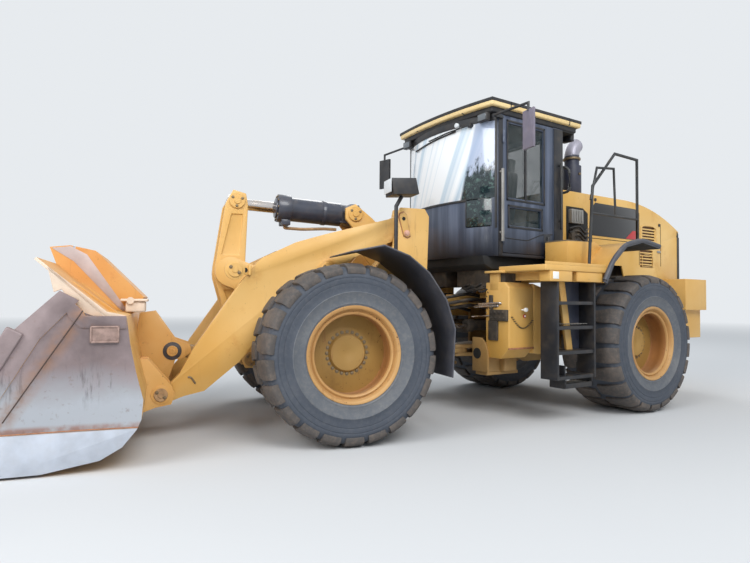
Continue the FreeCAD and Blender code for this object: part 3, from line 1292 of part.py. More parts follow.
def bucket():
    half, side = S["bucket_half"], S["bucket_side"]
    b_x, b_z = pin("b")
    c_x, c_z = pin("c")
    tip, low = S["bucket_tip"], S["bucket_clear"]
    cheek_outline = bucket_back() + (
        (b_x + 530, b_z + 735), (b_x + 560, b_z + 790), (b_x + 700, b_z + 920), (b_x + 990, b_z + 630),
        (tip - 250, b_z - 60), (tip - 90, low + 60),
    )
    cheek = join(slab("xz", (half - side, half - S["wear_thick"]), cheek_outline), *wear_plates())
    sheet = carve(slab("xz", (side - half, half - side), bucket_back() + ((b_x + 600, b_z + 735), (tip, low + 400))),
                  slab("xz", (-half, half), bucket_cavity()))
    guard = slab("xz", (-half + 80, half - 80), (
        (b_x + 250, b_z + 700), (b_x + 300, b_z + 700), (b_x + 410, b_z + 735), (b_x + 885, b_z + 1150),
        (b_x + 870, b_z + 1164), (b_x + 390, b_z + 765), (b_x + 250, b_z + 735),
    ))
    middle = slab("xz", (-600, 600), (
        (b_x + 160, b_z + 880), (b_x + 570, b_z + 1290), (b_x + 770, b_z + 1330), (b_x + 930, b_z + 1310),
        (b_x + 870, b_z + 1150), (b_x + 400, b_z + 760), (b_x + 250, b_z + 735), (b_x + 235, b_z + 780),
    ))
    hollow = slab("xz", (-570, 570), (
        (b_x + 290, b_z + 900), (b_x + 590, b_z + 1240), (b_x + 760, b_z + 1290), (b_x + 850, b_z + 1270),
        (b_x + 790, b_z + 1140), (b_x + 420, b_z + 830),
    ))
    edge = slab("xz", (side - half, half - side), (
        (tip, low), (tip - S["edge_thick"], low + S["edge_thick"]), (tip - S["edge_deep"], low + S["edge_thick"] + 20),
        (tip - S["edge_deep"], low + 10)))
    pieces = [cheek, mirrored(cheek), sheet, guard, carve(middle, hollow), edge]
    hinge = ((b_x - 90, b_z + 80), (b_x - 120, b_z), (b_x - 90, b_z - 90), (b_x + 50, b_z - 115), (b_x + 200, b_z - 170),
             (b_x + 200, b_z + 330), (b_x + 120, b_z + 330))
    outer_y = S["arm_inner"] + S["arm_thick"] + S["side_gap"]
    for span in ((S["arm_inner"] - S["side_gap"] - 50, S["arm_inner"] - S["side_gap"]),
                 (outer_y, outer_y + 50)):
        plate = slab("xz", span, hinge)
        pieces += [plate, mirrored(plate), ]
    hinge_pin = rod("y", pin("b"), S["pin_radius"], (S["arm_inner"] - S["side_gap"] - 40, outer_y + 40))
    pieces += [hinge_pin, mirrored(hinge_pin)]
    ear = slab("xz", (S["lever_half"] - S["lever_plate"], S["lever_half"]), (
        (c_x - 70, c_z - 60), (c_x + 60, c_z - 95), (b_x + 160, b_z + 120), (b_x + 230, b_z + 440),
        (c_x + 20, c_z + 95), (c_x - 70, c_z + 60),
    ))
    link_pin = rod("y", pin("c"), S["pin_radius"], (-S["lever_half"], S["lever_half"]))
    pieces += [ear, mirrored(ear), link_pin]
    node("bucket", join(*pieces), front=True)


# The machine

def build():
    tyre_form = tyre()
    for end in ("front", "rear"):
        for side_name, side in (("left", 1), ("right", -1)):
            wheel(end, side_name, side, tyre_form)
    for make in (front_axle, rear_axle, rear_frame, counterweight, tie_down_eyes, engine_block, radiator, transmission,
                 hood, rear_grille, front_hood, exhaust_stack, cab_shell, cab_glass, cab_door, cab_roof, roof_lamps,
                 seat, steering_console, mirrors, platforms, rear_fenders, handrails, grab_rails, ladders, side_tanks,
                 front_frame, front_fenders, work_lamps, lift_arms, tilt_lever, tilt_link, lift_cylinders,
                 tilt_cylinder, steering_cylinders, bucket):
        make()
    doc.recompute()


def check():
    for item in doc.Objects:
        if "Invalid" in item.State or "Error" in item.State:
            raise RuntimeError(f"{item.Name} failed: {item.State}")
    for name, item in NODES.items():
        if item.Shape.isNull() or not item.Shape.isValid() or not item.Shape.Solids:
            raise RuntimeError(f"{name} has no valid solid")


def export():
    os.makedirs("parts", exist_ok=True)
    for name, item in NODES.items():
        item.Shape.exportStep(f"parts/{name}.step")


build()
check()
export()
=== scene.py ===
import json
import math

import bpy
from mathutils import Matrix, Vector

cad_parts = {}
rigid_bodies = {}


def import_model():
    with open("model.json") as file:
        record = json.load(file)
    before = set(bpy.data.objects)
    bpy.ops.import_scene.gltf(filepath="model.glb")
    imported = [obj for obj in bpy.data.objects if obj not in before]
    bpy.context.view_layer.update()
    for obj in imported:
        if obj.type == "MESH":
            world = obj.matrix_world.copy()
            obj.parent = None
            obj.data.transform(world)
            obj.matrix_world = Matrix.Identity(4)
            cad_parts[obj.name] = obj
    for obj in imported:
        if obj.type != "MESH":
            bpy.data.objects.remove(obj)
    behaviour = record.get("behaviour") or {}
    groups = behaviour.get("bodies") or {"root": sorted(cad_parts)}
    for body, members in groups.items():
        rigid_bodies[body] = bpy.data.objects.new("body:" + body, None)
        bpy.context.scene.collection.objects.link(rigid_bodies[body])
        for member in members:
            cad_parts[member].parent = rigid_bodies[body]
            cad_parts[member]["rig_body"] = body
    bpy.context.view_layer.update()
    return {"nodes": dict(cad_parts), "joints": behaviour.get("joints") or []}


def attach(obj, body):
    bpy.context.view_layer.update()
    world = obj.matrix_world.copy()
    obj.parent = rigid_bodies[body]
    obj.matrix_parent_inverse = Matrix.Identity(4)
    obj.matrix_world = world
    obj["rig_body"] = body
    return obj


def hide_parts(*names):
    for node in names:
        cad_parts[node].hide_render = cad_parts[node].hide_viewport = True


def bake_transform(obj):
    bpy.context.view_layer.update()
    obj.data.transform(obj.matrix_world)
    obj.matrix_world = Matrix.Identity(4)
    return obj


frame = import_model()
print("frame loaded")


# Places: the machine's halves and its joints

steerRest = 13.43  # degrees the front half is turned to the right
joints = {joint["name"]: joint for joint in frame["joints"]}
hitch = Vector(joints["steer"]["pos_m"][:2] + [0])
halves = {
    "front": Matrix.Translation(hitch) @ Matrix.Rotation(-math.radians(steerRest), 4, "Z"),
    "rear": Matrix.Translation(hitch),
}
wheels = {"axle": 1.775, "track": 1.115, "height": 0.81}
pins = {"b": (3.36, 0.42), "c": (3.265, 0.775), "d": (2.49, 0.67), "p": (2.72, 1.57), "t": (2.66, 2.31),
        "e": (1.37, 2.25), "g": (0.74, 0.78), "h": (1.80, 1.60)}  # (x, z) of the linkage in the front half


# Modelling helpers; the limits are metres, and degrees for what counts as flat

limits = {"weld": 0.00005, "weldCad": 0.0002, "flatCad": 1.5, "weldLathe": 0.0005}


def only(piece):
    bpy.ops.object.select_all(action="DESELECT")
    piece.select_set(True)
    bpy.context.view_layer.objects.active = piece
    return piece


def applyModifiers(piece):
    only(piece)
    for modifier in list(piece.modifiers):
        bpy.ops.object.modifier_apply(modifier=modifier.name)
    return piece


def applyPlace(piece):
    only(piece)
    bpy.ops.object.transform_apply(location=True, rotation=True, scale=True)
    return piece


def addModifier(piece, kind, **settings):
    modifier = piece.modifiers.new(kind.lower(), kind)
    for name, value in settings.items():
        setattr(modifier, name, value)
    return modifier


def bevelEdges(piece, width, segments=2, angle=35):
    addModifier(piece, "BEVEL", width=width, segments=segments, limit_method="ANGLE",
                angle_limit=math.radians(angle), use_clamp_overlap=True)
    return piece


def cleanMesh(piece):
    only(piece)
    bpy.ops.object.mode_set(mode="EDIT")
    bpy.ops.mesh.select_all(action="SELECT")
    bpy.ops.mesh.remove_doubles(threshold=limits["weld"])
    bpy.ops.mesh.normals_make_consistent(inside=False)
    bpy.ops.object.mode_set(mode="OBJECT")
    return piece


def asMesh(piece):
    only(piece)
    bpy.ops.object.convert(target="MESH")
    return bpy.context.view_layer.objects.active


def painted(piece, material, smooth=35):
    # one material all over, and smooth shading up to an angle in degrees
    piece.data.materials.clear()
    piece.data.materials.append(material)
    only(piece)
    bpy.ops.object.shade_smooth_by_angle(angle=math.radians(smooth))


def finished(piece, body, material, half=None, smooth=35):
    applyModifiers(piece)
    applyPlace(piece)
    if half:
        piece.matrix_world = halves[half]
        applyPlace(piece)
    painted(piece, material, smooth)
    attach(piece, body)
    return piece


def softened(node, material, width=0.005, segments=2):
    # a copy of a CAD node with its edges rounded, in place of the node
    source = frame["nodes"][node]
    piece = source.copy()
    piece.data = source.data.copy()
    bpy.context.scene.collection.objects.link(piece)
    for key in list(piece.keys()):
        del piece[key]
    piece.parent = None
    piece.matrix_world = Matrix.Identity(4)
    piece.name = node + "_finish"
    only(piece)
    bpy.ops.object.mode_set(mode="EDIT")
    bpy.ops.mesh.select_all(action="SELECT")
    bpy.ops.mesh.remove_doubles(threshold=limits["weldCad"])
    bpy.ops.mesh.dissolve_limited(angle_limit=math.radians(limits["flatCad"]))
    bpy.ops.object.mode_set(mode="OBJECT")
    if width:
        bevelEdges(piece, width, segments)
    applyModifiers(piece)
    painted(piece, material)
    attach(piece, source["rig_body"])
    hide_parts(node)
    return piece


def about(middle, half):
    return (middle - half, middle + half)


def toSide(low, high, sign):
    # a span across the machine, to the left for sign 1 and to the right for sign -1
    return tuple(sorted((low * sign, high * sign)))


def box(name, x, y, z, edge=0.004, segments=2):
    size = (x[1] - x[0], y[1] - y[0], z[1] - z[0])
    middle = ((x[1] + x[0]) / 2, (y[1] + y[0]) / 2, (z[1] + z[0]) / 2)
    bpy.ops.mesh.primitive_cube_add(size=1, location=middle, scale=size)
    piece = bpy.context.view_layer.objects.active
    piece.name = name
    applyPlace(piece)
    if edge:
        bevelEdges(piece, edge, segments)
        applyModifiers(piece)
    return piece


def bar(name, start, end, radius, sides=24, edge=0.0, tip=None):
    start, end = Vector(start), Vector(end)
    along = end - start
    bpy.ops.mesh.primitive_cone_add(vertices=sides, radius1=radius, radius2=radius if tip is None else tip,
                                    depth=along.length, location=(start + end) / 2)
    piece = bpy.context.view_layer.objects.active
    piece.name = name
    piece.rotation_mode = "QUATERNION"
    piece.rotation_quaternion = along.to_track_quat("Z", "Y")
    applyPlace(piece)
    if edge:
        bevelEdges(piece, edge, 2, 50)
        applyModifiers(piece)
    return piece


def rounded(points, bend, steps=6):
    # the same path with each inner corner turned into an arc
    points = [Vector(point) for point in points]
    path = [points[0]]
    for before, corner, after in zip(points, points[1:], points[2:]):
        back, ahead = (before - corner), (after - corner)
        reach = min(bend, back.length * 0.48, ahead.length * 0.48)
        first, last = corner + back.normalized() * reach, corner + ahead.normalized() * reach
        for step in range(steps + 1):
            part = step / steps
            path.append(first * (1 - part) ** 2 + corner * 2 * part * (1 - part) + last * part ** 2)
    return path + [points[-1]]


def newCurve(name, splines, cyclic=False, flat=False):
    bpy.ops.curve.primitive_nurbs_path_add()
    piece = bpy.context.view_layer.objects.active
    piece.name = name
    piece.location = (0, 0, 0)
    curve = piece.data
    curve.dimensions = "2D" if flat else "3D"
    curve.splines.clear()
    for points in splines:
        spline = curve.splines.new("POLY")
        spline.points.add(len(points) - 1)
        for slot, point in zip(spline.points, points):
            slot.co = (*point, 0, 1) if len(point) == 2 else (*point, 1)
        spline.use_cyclic_u = cyclic
    return piece


def tube(name, points, radius, bend=0.08, sides=8, steps=6):
    piece = newCurve(name, [rounded(points, bend, steps)])
    piece.data.bevel_depth = radius
    piece.data.bevel_resolution = max(0, sides // 2 - 2)
    piece.data.use_fill_caps = True
    piece.data.twist_mode = "Z_UP"
    return cleanMesh(asMesh(piece))


planes = {
    "xz": Matrix(((1, 0, 0, 0), (0, 0, -1, 0), (0, 1, 0, 0), (0, 0, 0, 1))),
    "xy": Matrix.Identity(4),
    "yz": Matrix(((0, 0, 1, 0), (1, 0, 0, 0), (0, 1, 0, 0), (0, 0, 0, 1))),
}


def plate(name, plane, span, outline, edge=0.004, holes=()):
    # outline and holes are lists of corners in that plane, span is the plate's place across it
    piece = newCurve(name, [outline, *holes], cyclic=True, flat=True)
    curve = piece.data
    curve.fill_mode = "BOTH"
    thick = abs(span[1] - span[0]) / 2
    edge = min(edge, thick * 0.7)
    curve.extrude = thick - edge
    curve.bevel_depth = edge
    curve.offset = -edge
    curve.bevel_resolution = 1
    piece = asMesh(piece)
    middle = (span[0] + span[1]) / 2
    piece.matrix_world = planes[plane] @ Matrix.Translation((0, 0, -middle if plane == "xz" else middle))
    applyPlace(piece)
    return cleanMesh(piece)


def disc(centre, radius, sides=24, start=0.0):
    return [(centre[0] + radius * math.cos(start + 2 * math.pi * k / sides),
             centre[1] + radius * math.sin(start + 2 * math.pi * k / sides)) for k in range(sides)]


def border(name, x, y, z, width, edge):
    # four bars along the inside of a rectangle that stands along the machine
    spans = ((x, (z[0], z[0] + width)), (x, (z[1] - width, z[1])),
             ((x[0], x[0] + width), z), ((x[1] - width, x[1]), z))
    return [box(name, along, y, rise, edge) for along, rise in spans]


def lathe(name, profile, steps=64):
    # profile is (radius, along) and turns about the Y axis
    piece = newCurve(name, [[(radius, along, 0) for radius, along in profile]])
    addModifier(piece, "SCREW", axis="Y", steps=steps, render_steps=steps, use_merge_vertices=True,
                merge_threshold=limits["weldLathe"], use_smooth_shade=True)
    return cleanMesh(asMesh(piece))


def copyOf(piece, matrix=Matrix.Identity(4)):
    twin = piece.copy()
    twin.data = piece.data.copy()
    bpy.context.scene.collection.objects.link(twin)
    twin.matrix_world = matrix @ piece.matrix_world
    return twin


def joined(name, pieces):
    bpy.ops.object.select_all(action="DESELECT")
    for piece in pieces:
        piece.select_set(True)
    bpy.context.view_layer.objects.active = pieces[0]
    if len(pieces) > 1:
        bpy.ops.object.join()
    piece = bpy.context.view_layer.objects.active
    piece.name = name
    return applyPlace(piece)


def spread(name, piece, matrices):
    # copies of one piece at each of the places, as a single mesh
    twins = [copyOf(piece, matrix) for matrix in matrices]
    bpy.data.objects.remove(piece)
    return joined(name, twins)


mirrorY = Matrix.Scale(-1, 4, (0, 1, 0))


def flatPath(y, points):
    # a path that keeps one distance from the middle, from its (x, z) points
    return [(x, y, z) for x, z in points]


def withTwin(piece):
    # the piece and its mirror image across the middle of the half, as one mesh
    twin = copyOf(piece, mirrorY)
    applyPlace(twin)
    only(twin)
    bpy.ops.object.mode_set(mode="EDIT")
    bpy.ops.mesh.select_all(action="SELECT")
    bpy.ops.mesh.flip_normals()
    bpy.ops.object.mode_set(mode="OBJECT")
    return joined(piece.name, [piece, twin])


def paired(piece, body, material, half="front"):
    # a piece made for the left side and its mirror image, finished as one
    return finished(withTwin(piece), body, material, half)


def onRear(pieces, name, material, both=True):
    # pieces of the rear half as one, on both sides of the machine or only where they stand
    piece = joined(name, pieces)
    if both:
        piece = withTwin(piece)
    return finished(piece, "rear_half", material, "rear")


def sidePlate(name, y, outline, thick=0.006, edge=0.001, holes=()):
    return plate(name, "xz", (y, y + thick), outline, edge, holes)


def aimed(place, along):
    # turns what stands on +Z so that it stands at a place and points along a direction
    return Matrix.Translation(Vector(place)) @ Vector(along).to_track_quat("Z", "Y").to_matrix().to_4x4()


boltShape = {"washer": 1.25, "washerThick": 0.25, "headThick": 0.7, "edge": 0.12}


def bolts(name, places, along, radius):
    # hexagon bolts with washers; places is a list of points, along the way the heads point
    shape = {part: radius * size for part, size in boltShape.items()}
    washer = bar("washer", (0, 0, 0), (0, 0, shape["washerThick"]), shape["washer"], 14)
    head = bar("head", (0, 0, 0), (0, 0, shape["headThick"]), radius, 6, shape["edge"])
    one = joined("bolt", [washer, head])
    return spread(name, one, [aimed(place, along) for place in places])


def ring(centre, radius, count, start=0.0):
    # places round a pin that lies across the machine; centre is (x, y, z)
    return [(x, centre[1], z) for x, z in disc((centre[0], centre[2]), radius, count, start)]


# Materials

class Value:
    # a shader socket that takes + - * / and adds its Math nodes
    def __init__(self, tree, socket):
        self.tree, self.socket = tree, socket

    def maths(self, operation, *others):
        node = self.tree.nodes.new("ShaderNodeMath")
        node.operation = operation
        for place, value in zip(node.inputs, (self, *others)):
            feed(self.tree, place, value)
        return Value(self.tree, node.outputs[0])

    def __add__(self, other):
        return self.maths("ADD", other)

    def __sub__(self, other):
        return self.maths("SUBTRACT", other)

    def __rsub__(self, other):
        return (self * -1) + other

    def __mul__(self, other):
        return self.maths("MULTIPLY", other)

    def power(self, other):
        return self.maths("POWER", other)

    def clamped(self):
        out = self.maths("ADD", 0.0)
        out.socket.node.use_clamp = True
        return out

    def between(self, low, high):
        # 0 below low and 1 above high, soft in between
        return ((self - low) * (1 / (high - low))).clamped()


def feed(tree, place, value):
    if isinstance(value, Value):
        tree.links.new(value.socket, place)
    else:
        place.default_value = value


class Finish:
    # one material being built
    names = {"baseColor": "Base Color", "roughness": "Roughness", "metallic": "Metallic",
             "coat": "Coat Weight",
             "coatRoughness": "Coat Roughness", "alpha": "Alpha", "emission": "Emission Color",
             "emissionStrength": "Emission Strength", "specular": "Specular IOR Level", "normal": "Normal"}

    def __init__(self, name, colour, roughness, metallic=0.0):
        self.material = bpy.data.materials.new(name)
        self.material.use_nodes = True
        self.tree = self.material.node_tree
        self.shader = self.tree.nodes["Principled BSDF"]
        self.set(baseColor=(*colour, 1), roughness=roughness, metallic=metallic)

    def set(self, **values):
        for name, value in values.items():
            feed(self.tree, self.shader.inputs[self.names[name]], value)
        return self

    def node(self, kind, settings=None, output=0, **inputs):
        node = self.tree.nodes.new("ShaderNode" + kind)
        for name, value in (settings or {}).items():
            setattr(node, name, value)
        for name, value in inputs.items():
            feed(self.tree, node.inputs[name], value)
        return Value(self.tree, node.outputs[output])

    def place(self, scale=(1, 1, 1)):
        coordinates = self.node("TexCoord", output=3)
        return self.node("Mapping", Vector=coordinates, Scale=scale)

    def axis(self, name):
        return self.node("SeparateXYZ", output="XYZ".index(name), Vector=self.node("TexCoord", output=3))

    def facing(self, name):
        # the surface's own direction along an axis, -1 to 1
        return self.node("SeparateXYZ", output="XYZ".index(name), Vector=self.node("NewGeometry", output=1))

    def noise(self, scale, detail=4.0, stretch=(1, 1, 1), roughness=0.55):
        return self.node("TexNoise", {"noise_dimensions": "3D"}, Vector=self.place(stretch), Scale=scale,
                         Detail=detail, Roughness=roughness)

    def mix(self, factor, low, high):
        node = self.tree.nodes.new("ShaderNodeMix")
        node.data_type = "RGBA"
        feed(self.tree, node.inputs[0], factor)
        feed(self.tree, node.inputs[6], low if isinstance(low, Value) else (*low, 1))
        feed(self.tree, node.inputs[7], high if isinstance(high, Value) else (*high, 1))
        return Value(self.tree, node.outputs[2])

    def bump(self, height, strength=0.3, distance=0.002):
        return self.set(normal=self.node("Bump", Height=height, Strength=strength, Distance=distance))


def linear(red, green, blue):
    # a colour picked on screen, 0 to 255, as the linear values that a shader takes
    screen = [value / 255 for value in (red, green, blue)]
    return tuple(((value + 0.055) / 1.055) ** 2.4 if value > 0.04045 else value / 12.92 for value in screen)


tones = {
    "yellow": linear(208, 158, 76), "yellowPale": linear(216, 174, 104), "yellowDeep": linear(186, 124, 48),
    "rust": linear(122, 66, 34), "rustDark": linear(74, 42, 28), "dust": linear(170, 148, 118),
    "mud": linear(96, 78, 62), "black": linear(30, 31, 35), "panel": linear(26, 28, 36),
    "steel": linear(150, 148, 152), "lilac": linear(112, 98, 98), "steelPale": linear(176, 180, 186),
    "chrome": linear(214, 208, 204), "red": linear(176, 30, 34), "white": linear(236, 236, 232),
}
wear = {"patches": 0.55, "runs": 0.35, "dust": 0.45, "mud": 0.55, "coat": 0.12}


def paint(name, clean, pale, deep, rust=0.5, gloss=0.42, low=None):
    # worn machine paint: fading, dust that gathers on top faces, rust specks and runs, mud below a height
    finish = Finish(name, clean, gloss)
    broad = finish.noise(1.3, 3.0)
    fade = finish.mix(broad.between(0.35, 0.7), pale, clean)
    patches = finish.noise(3.1, 6.0, roughness=0.7)
    colour = finish.mix(patches.between(0.56, 0.72) * wear["patches"], fade, deep)
    runs = finish.noise(5.0, 5.0, stretch=(3.2, 3.2, 0.35), roughness=0.7)
    streaks = runs.between(0.60, 0.72) * (wear["runs"] * rust)
    colour = finish.mix(streaks, colour, tones["rust"])
    specks = finish.noise(38.0, 3.0, roughness=0.6).between(0.66, 0.72) * patches.between(0.42, 0.60)
    colour = finish.mix(specks * rust, colour, tones["rustDark"])
    dust = finish.facing("Z").between(0.55, 1.0) * finish.noise(4.0, 5.0).between(0.3, 0.7)
    colour = finish.mix(dust * wear["dust"], colour, tones["dust"])
    if low:
        splash = (low - finish.axis("Z") + finish.noise(4.5, 5.0) * 0.35).between(0.1, 0.62)
        colour = finish.mix(splash * wear["mud"], colour, tones["mud"])
    finish.set(baseColor=colour, roughness=(broad * 0.22) + (specks * 0.3) + (dust * 0.25) + (gloss - 0.05))
    finish.set(coat=wear["coat"], coatRoughness=0.25)
    finish.bump(finish.noise(55.0, 2.0) * 0.3 + specks, 0.12, 0.001)
    return finish.material


def plain(name, colour, roughness=0.5, metallic=0.0, mottle=0.12, dusty=0.35, coat=0.0, scale=7.0):
    finish = Finish(name, colour, roughness, metallic)
    cloud = finish.noise(scale, 5.0)
    lighter = tuple(min(1.0, c * (1 + mottle * 2) + mottle * 0.02) for c in colour)
    base = finish.mix(cloud.between(0.35, 0.65), colour, lighter)
    settled = (finish.facing("Z").between(0.3, 1.0) * 0.7 + 0.3) * finish.noise(11.0, 5.0).between(0.45, 0.75)
    base = finish.mix(settled * dusty, base, tones["dust"])
    finish.set(baseColor=base, roughness=cloud * 0.2 + (roughness - 0.1) + settled * 0.2, coat=coat)
    if coat:
        finish.set(coatRoughness=0.12)
    return finish.material


yellowPaint = paint("yellowPaint", tones["yellow"], tones["yellowPale"], tones["yellowDeep"], 0.45)
framePaint = paint("framePaint", tones["yellow"], tones["yellowPale"], tones["yellowDeep"], 0.9, 0.5, low=1.45)
hoodPaint = paint("hoodPaint", linear(212, 164, 78), linear(224, 184, 112), linear(196, 138, 56), 0.25, 0.36)
bucketPaint = paint("bucketPaint", linear(208, 150, 68), linear(218, 172, 104), linear(190, 108, 50), 1.0, 0.5)
rimPaint = paint("rimPaint", linear(170, 121, 64), linear(188, 146, 90), linear(138, 84, 48), 1.6, 0.55)
rimRust = paint("rimRust", linear(138, 88, 44), linear(160, 110, 60), linear(104, 62, 38), 1.6, 0.6)
discPaint = paint("discPaint", linear(148, 112, 52), linear(164, 128, 66), linear(104, 72, 36), 1.2, 0.6)
blackSatin = plain("blackSatin", tones["black"], 0.45, dusty=0.22)
railBlack = plain("railBlack", linear(34, 36, 38), 0.42, dusty=0.2)
fenderRubber = plain("fenderRubber", linear(66, 67, 74), 0.5, dusty=0.3)
machinery = plain("machinery", linear(52, 46, 40), 0.75, dusty=0.6, scale=14.0)
# near black, for dark parts and seams, and as painted shade in holes, the engine opening and under the rear
# fenders
darkInside = plain("darkInside", linear(20, 20, 20), 0.8, dusty=0.1)
hoseRubber = plain("hoseRubber", linear(30, 28, 28), 0.6, dusty=0.55, scale=20.0)
cylinderPaint = plain("cylinderPaint", linear(50, 54, 66), 0.34, dusty=0.22, coat=0.3)
exhaustSteel = plain("exhaustSteel", linear(150, 148, 160), 0.42, 0.3, dusty=0.25)
exhaustDark = plain("exhaustDark", linear(40, 44, 60), 0.5, dusty=0.15)
boltSteel = plain("boltSteel", linear(120, 104, 80), 0.5, 0.6, dusty=0.3, scale=30.0)
plastic = plain("plastic", linear(40, 41, 44), 0.5, dusty=0.15)
bucketInside = paint("bucketInside", linear(206, 124, 52), linear(220, 150, 84), linear(176, 92, 40), 1.1, 0.5)
guardOrange = paint("guardOrange", linear(204, 138, 62), linear(216, 162, 92), linear(184, 108, 48), 0.8, 0.5)
rustCast = plain("rustCast", linear(134, 112, 104), 0.55, 0.3, mottle=0.3, dusty=0.3, scale=18.0)
# a rust tone for welds and seams, also used as painted shade round the tower keeper
rustSeamAndShade = plain("rustSeamAndShade", linear(142, 96, 66), 0.7, mottle=0.3, dusty=0.3, scale=24.0)
rustPipe = plain("rustPipe", linear(150, 118, 82), 0.6, mottle=0.25, dusty=0.4, scale=16.0)
greased = plain("greased", linear(52, 50, 52), 0.45, mottle=0.4, dusty=0.25, scale=16.0)
pinkBolt = plain("pinkBolt", linear(206, 160, 138), 0.45, 0.2, dusty=0.1)
roofTrim = paint("roofTrim", linear(226, 196, 134), linear(236, 212, 160), linear(206, 168, 104), 0.2, 0.38)
roofTop = plain("roofTop", linear(30, 30, 33), 0.5, dusty=0.25)
lampDark = Finish("lampDark", linear(96, 102, 108), 0.12).set(coat=0.6).material
railPale = plain("railPale", linear(128, 126, 122), 0.4, 0.2, mottle=0.2, dusty=0.3)
# a paler paint for the hood's upward faces: a painted highlight on its top
hoodTopHighlight = paint("hoodTopHighlight", linear(228, 190, 126), linear(236, 208, 156), linear(214, 168, 96), 0.15, 0.36)
ventBrown = plain("ventBrown", linear(96, 66, 40), 0.7, mottle=0.2, dusty=0.3)
panelBlue = plain("panelBlue", linear(54, 58, 72), 0.45, dusty=0.2)
darkSeam = plain("darkSeam", linear(70, 54, 48), 0.7, dusty=0.1)
deckSteel = plain("deckSteel", linear(92, 82, 66), 0.7, 0.2, mottle=0.2, dusty=0.6, scale=16.0)
redPaint = Finish("redPaint", tones["red"], 0.35).set(coat=0.3).material
whitePaint = plain("whitePaint", tones["white"], 0.4, dusty=0.15, mottle=0.0)
decalBlack = Finish("decalBlack", linear(24, 24, 26), 0.32).set(coat=0.35).material


def chromeFinish():
    finish = Finish("chromeRod", tones["chrome"], 0.16, 1.0)
    film = finish.noise(9.0, 4.0).between(0.5, 0.75)
    finish.set(baseColor=finish.mix(film * 0.6, tones["chrome"], linear(190, 168, 140)),
               roughness=film * 0.35 + 0.14)
    return finish.material


def panelFinish():
    # the cab's gloss panels: blue-black with a painted reflection of the sky, paler above and darker towards
    # the bottom, and long pale wipe marks that are partly smears and partly painted reflection
    finish = Finish("cabPanel", tones["panel"], 0.2)
    paleWipesAndReflection = finish.noise(3.2, 4.0, stretch=(2.4, 2.4, 0.16), roughness=0.55).between(0.42, 0.70)
    height = finish.axis("Z").between(1.80, 2.15)
    # painted sky reflection: a paler blue from 1.8 m up
    colour = finish.mix(height * 0.6, tones["panel"], linear(60, 72, 94))
    colour = finish.mix(paleWipesAndReflection * height * 0.45, colour, linear(126, 136, 158))
    finish.set(baseColor=colour, roughness=paleWipesAndReflection * 0.2 + 0.34, coat=0.15, coatRoughness=0.2)
    return finish.material


def rubberFinish(name, base, dusty, amount):
    finish = Finish(name, base, 0.75)
    cloud = finish.noise(2.2, 5.0)
    grain = finish.noise(26.0, 6.0, roughness=0.7)
    colour = finish.mix(cloud.between(0.35, 0.7) * 0.6, base, tuple(c * 1.35 for c in base))
    colour = finish.mix((grain.between(0.45, 0.75) * 0.5 + cloud.between(0.5, 0.8) * 0.5) * amount, colour,
                        dusty)
    finish.set(baseColor=colour, roughness=cloud * 0.2 + 0.6)
    finish.bump(grain, 0.25, 0.002)
    return finish.material


def frontPlace(finish):
    # how far ahead of the hitch a point lies along the front half, as it stands at rest
    turn = math.radians(steerRest)
    ahead = (finish.axis("X") - hitch.x) * math.cos(turn)
    return ahead - (finish.axis("Y") - hitch.y) * math.sin(turn)


def wornSteel():
    # the bucket's sides: lilac grey above, scoured pale below, rust along the weld and the seam
    finish = Finish("bucketSide", tones["steel"], 0.5, 0.35)
    height, ahead = finish.axis("Z"), frontPlace(finish)
    cloud = finish.noise(2.6, 5.0, roughness=0.6)
    smear = finish.noise(5.0, 6.0, stretch=(3.0, 3.0, 0.5), roughness=0.7)
    scoured = 1 - (height + (cloud - 0.5) * 0.35).between(0.50, 0.80)
    colour = finish.mix(cloud.between(0.35, 0.7), tones["lilac"], linear(148, 132, 132))
    colour = finish.mix(scoured, colour, tones["steelPale"])
    stains = smear.between(0.56, 0.70) * height.between(0.45, 0.62) * (1 - height.between(0.68, 0.92))
    colour = finish.mix(stains * 0.75, colour, linear(84, 76, 78))
    across = ((ahead - 3.905) * 0.85 + (height - 1.195) * 0.527)
    seam = (1 - across.maths("ABSOLUTE").between(0.015, 0.085)) * finish.noise(12.0, 5.0).between(0.30, 0.60)
    weld = (1 - (height - 0.335).maths("ABSOLUTE").between(0.008, 0.035)) * finish.noise(9.0,
                                                                                         5.0).between(0.35,
                                                                                                      0.6)
    colour = finish.mix(seam * 0.62, colour, linear(158, 118, 92))
    colour = finish.mix(weld * 0.7, colour, linear(150, 102, 80))
    colour = finish.mix(finish.noise(26.0, 4.0).between(0.62, 0.74) * 0.4, colour, linear(120, 90, 74))
    finish.set(baseColor=colour, roughness=smear * 0.3 + 0.32, metallic=scoured * 0.25 + 0.1)
    finish.bump(finish.noise(20.0, 5.0), 0.12, 0.002)
    return finish.material


def glassFinish(name, tint, clear):
    finish = Finish(name, tint, 0.03)
    dirt = finish.noise(3.5, 5.0, roughness=0.6).between(0.45, 0.8)
    finish.set(alpha=dirt * 0.12 + (1 - clear), specular=0.6, coat=0.2)
    finish.set(baseColor=finish.mix(dirt * 0.5, tint, linear(150, 152, 150)))
    return finish.material


screen = {"middle": 2.4, "lean": 0.42, "cornerLean": 0.22, "cornerFrom": 0.34, "darkBelow": 2.72}


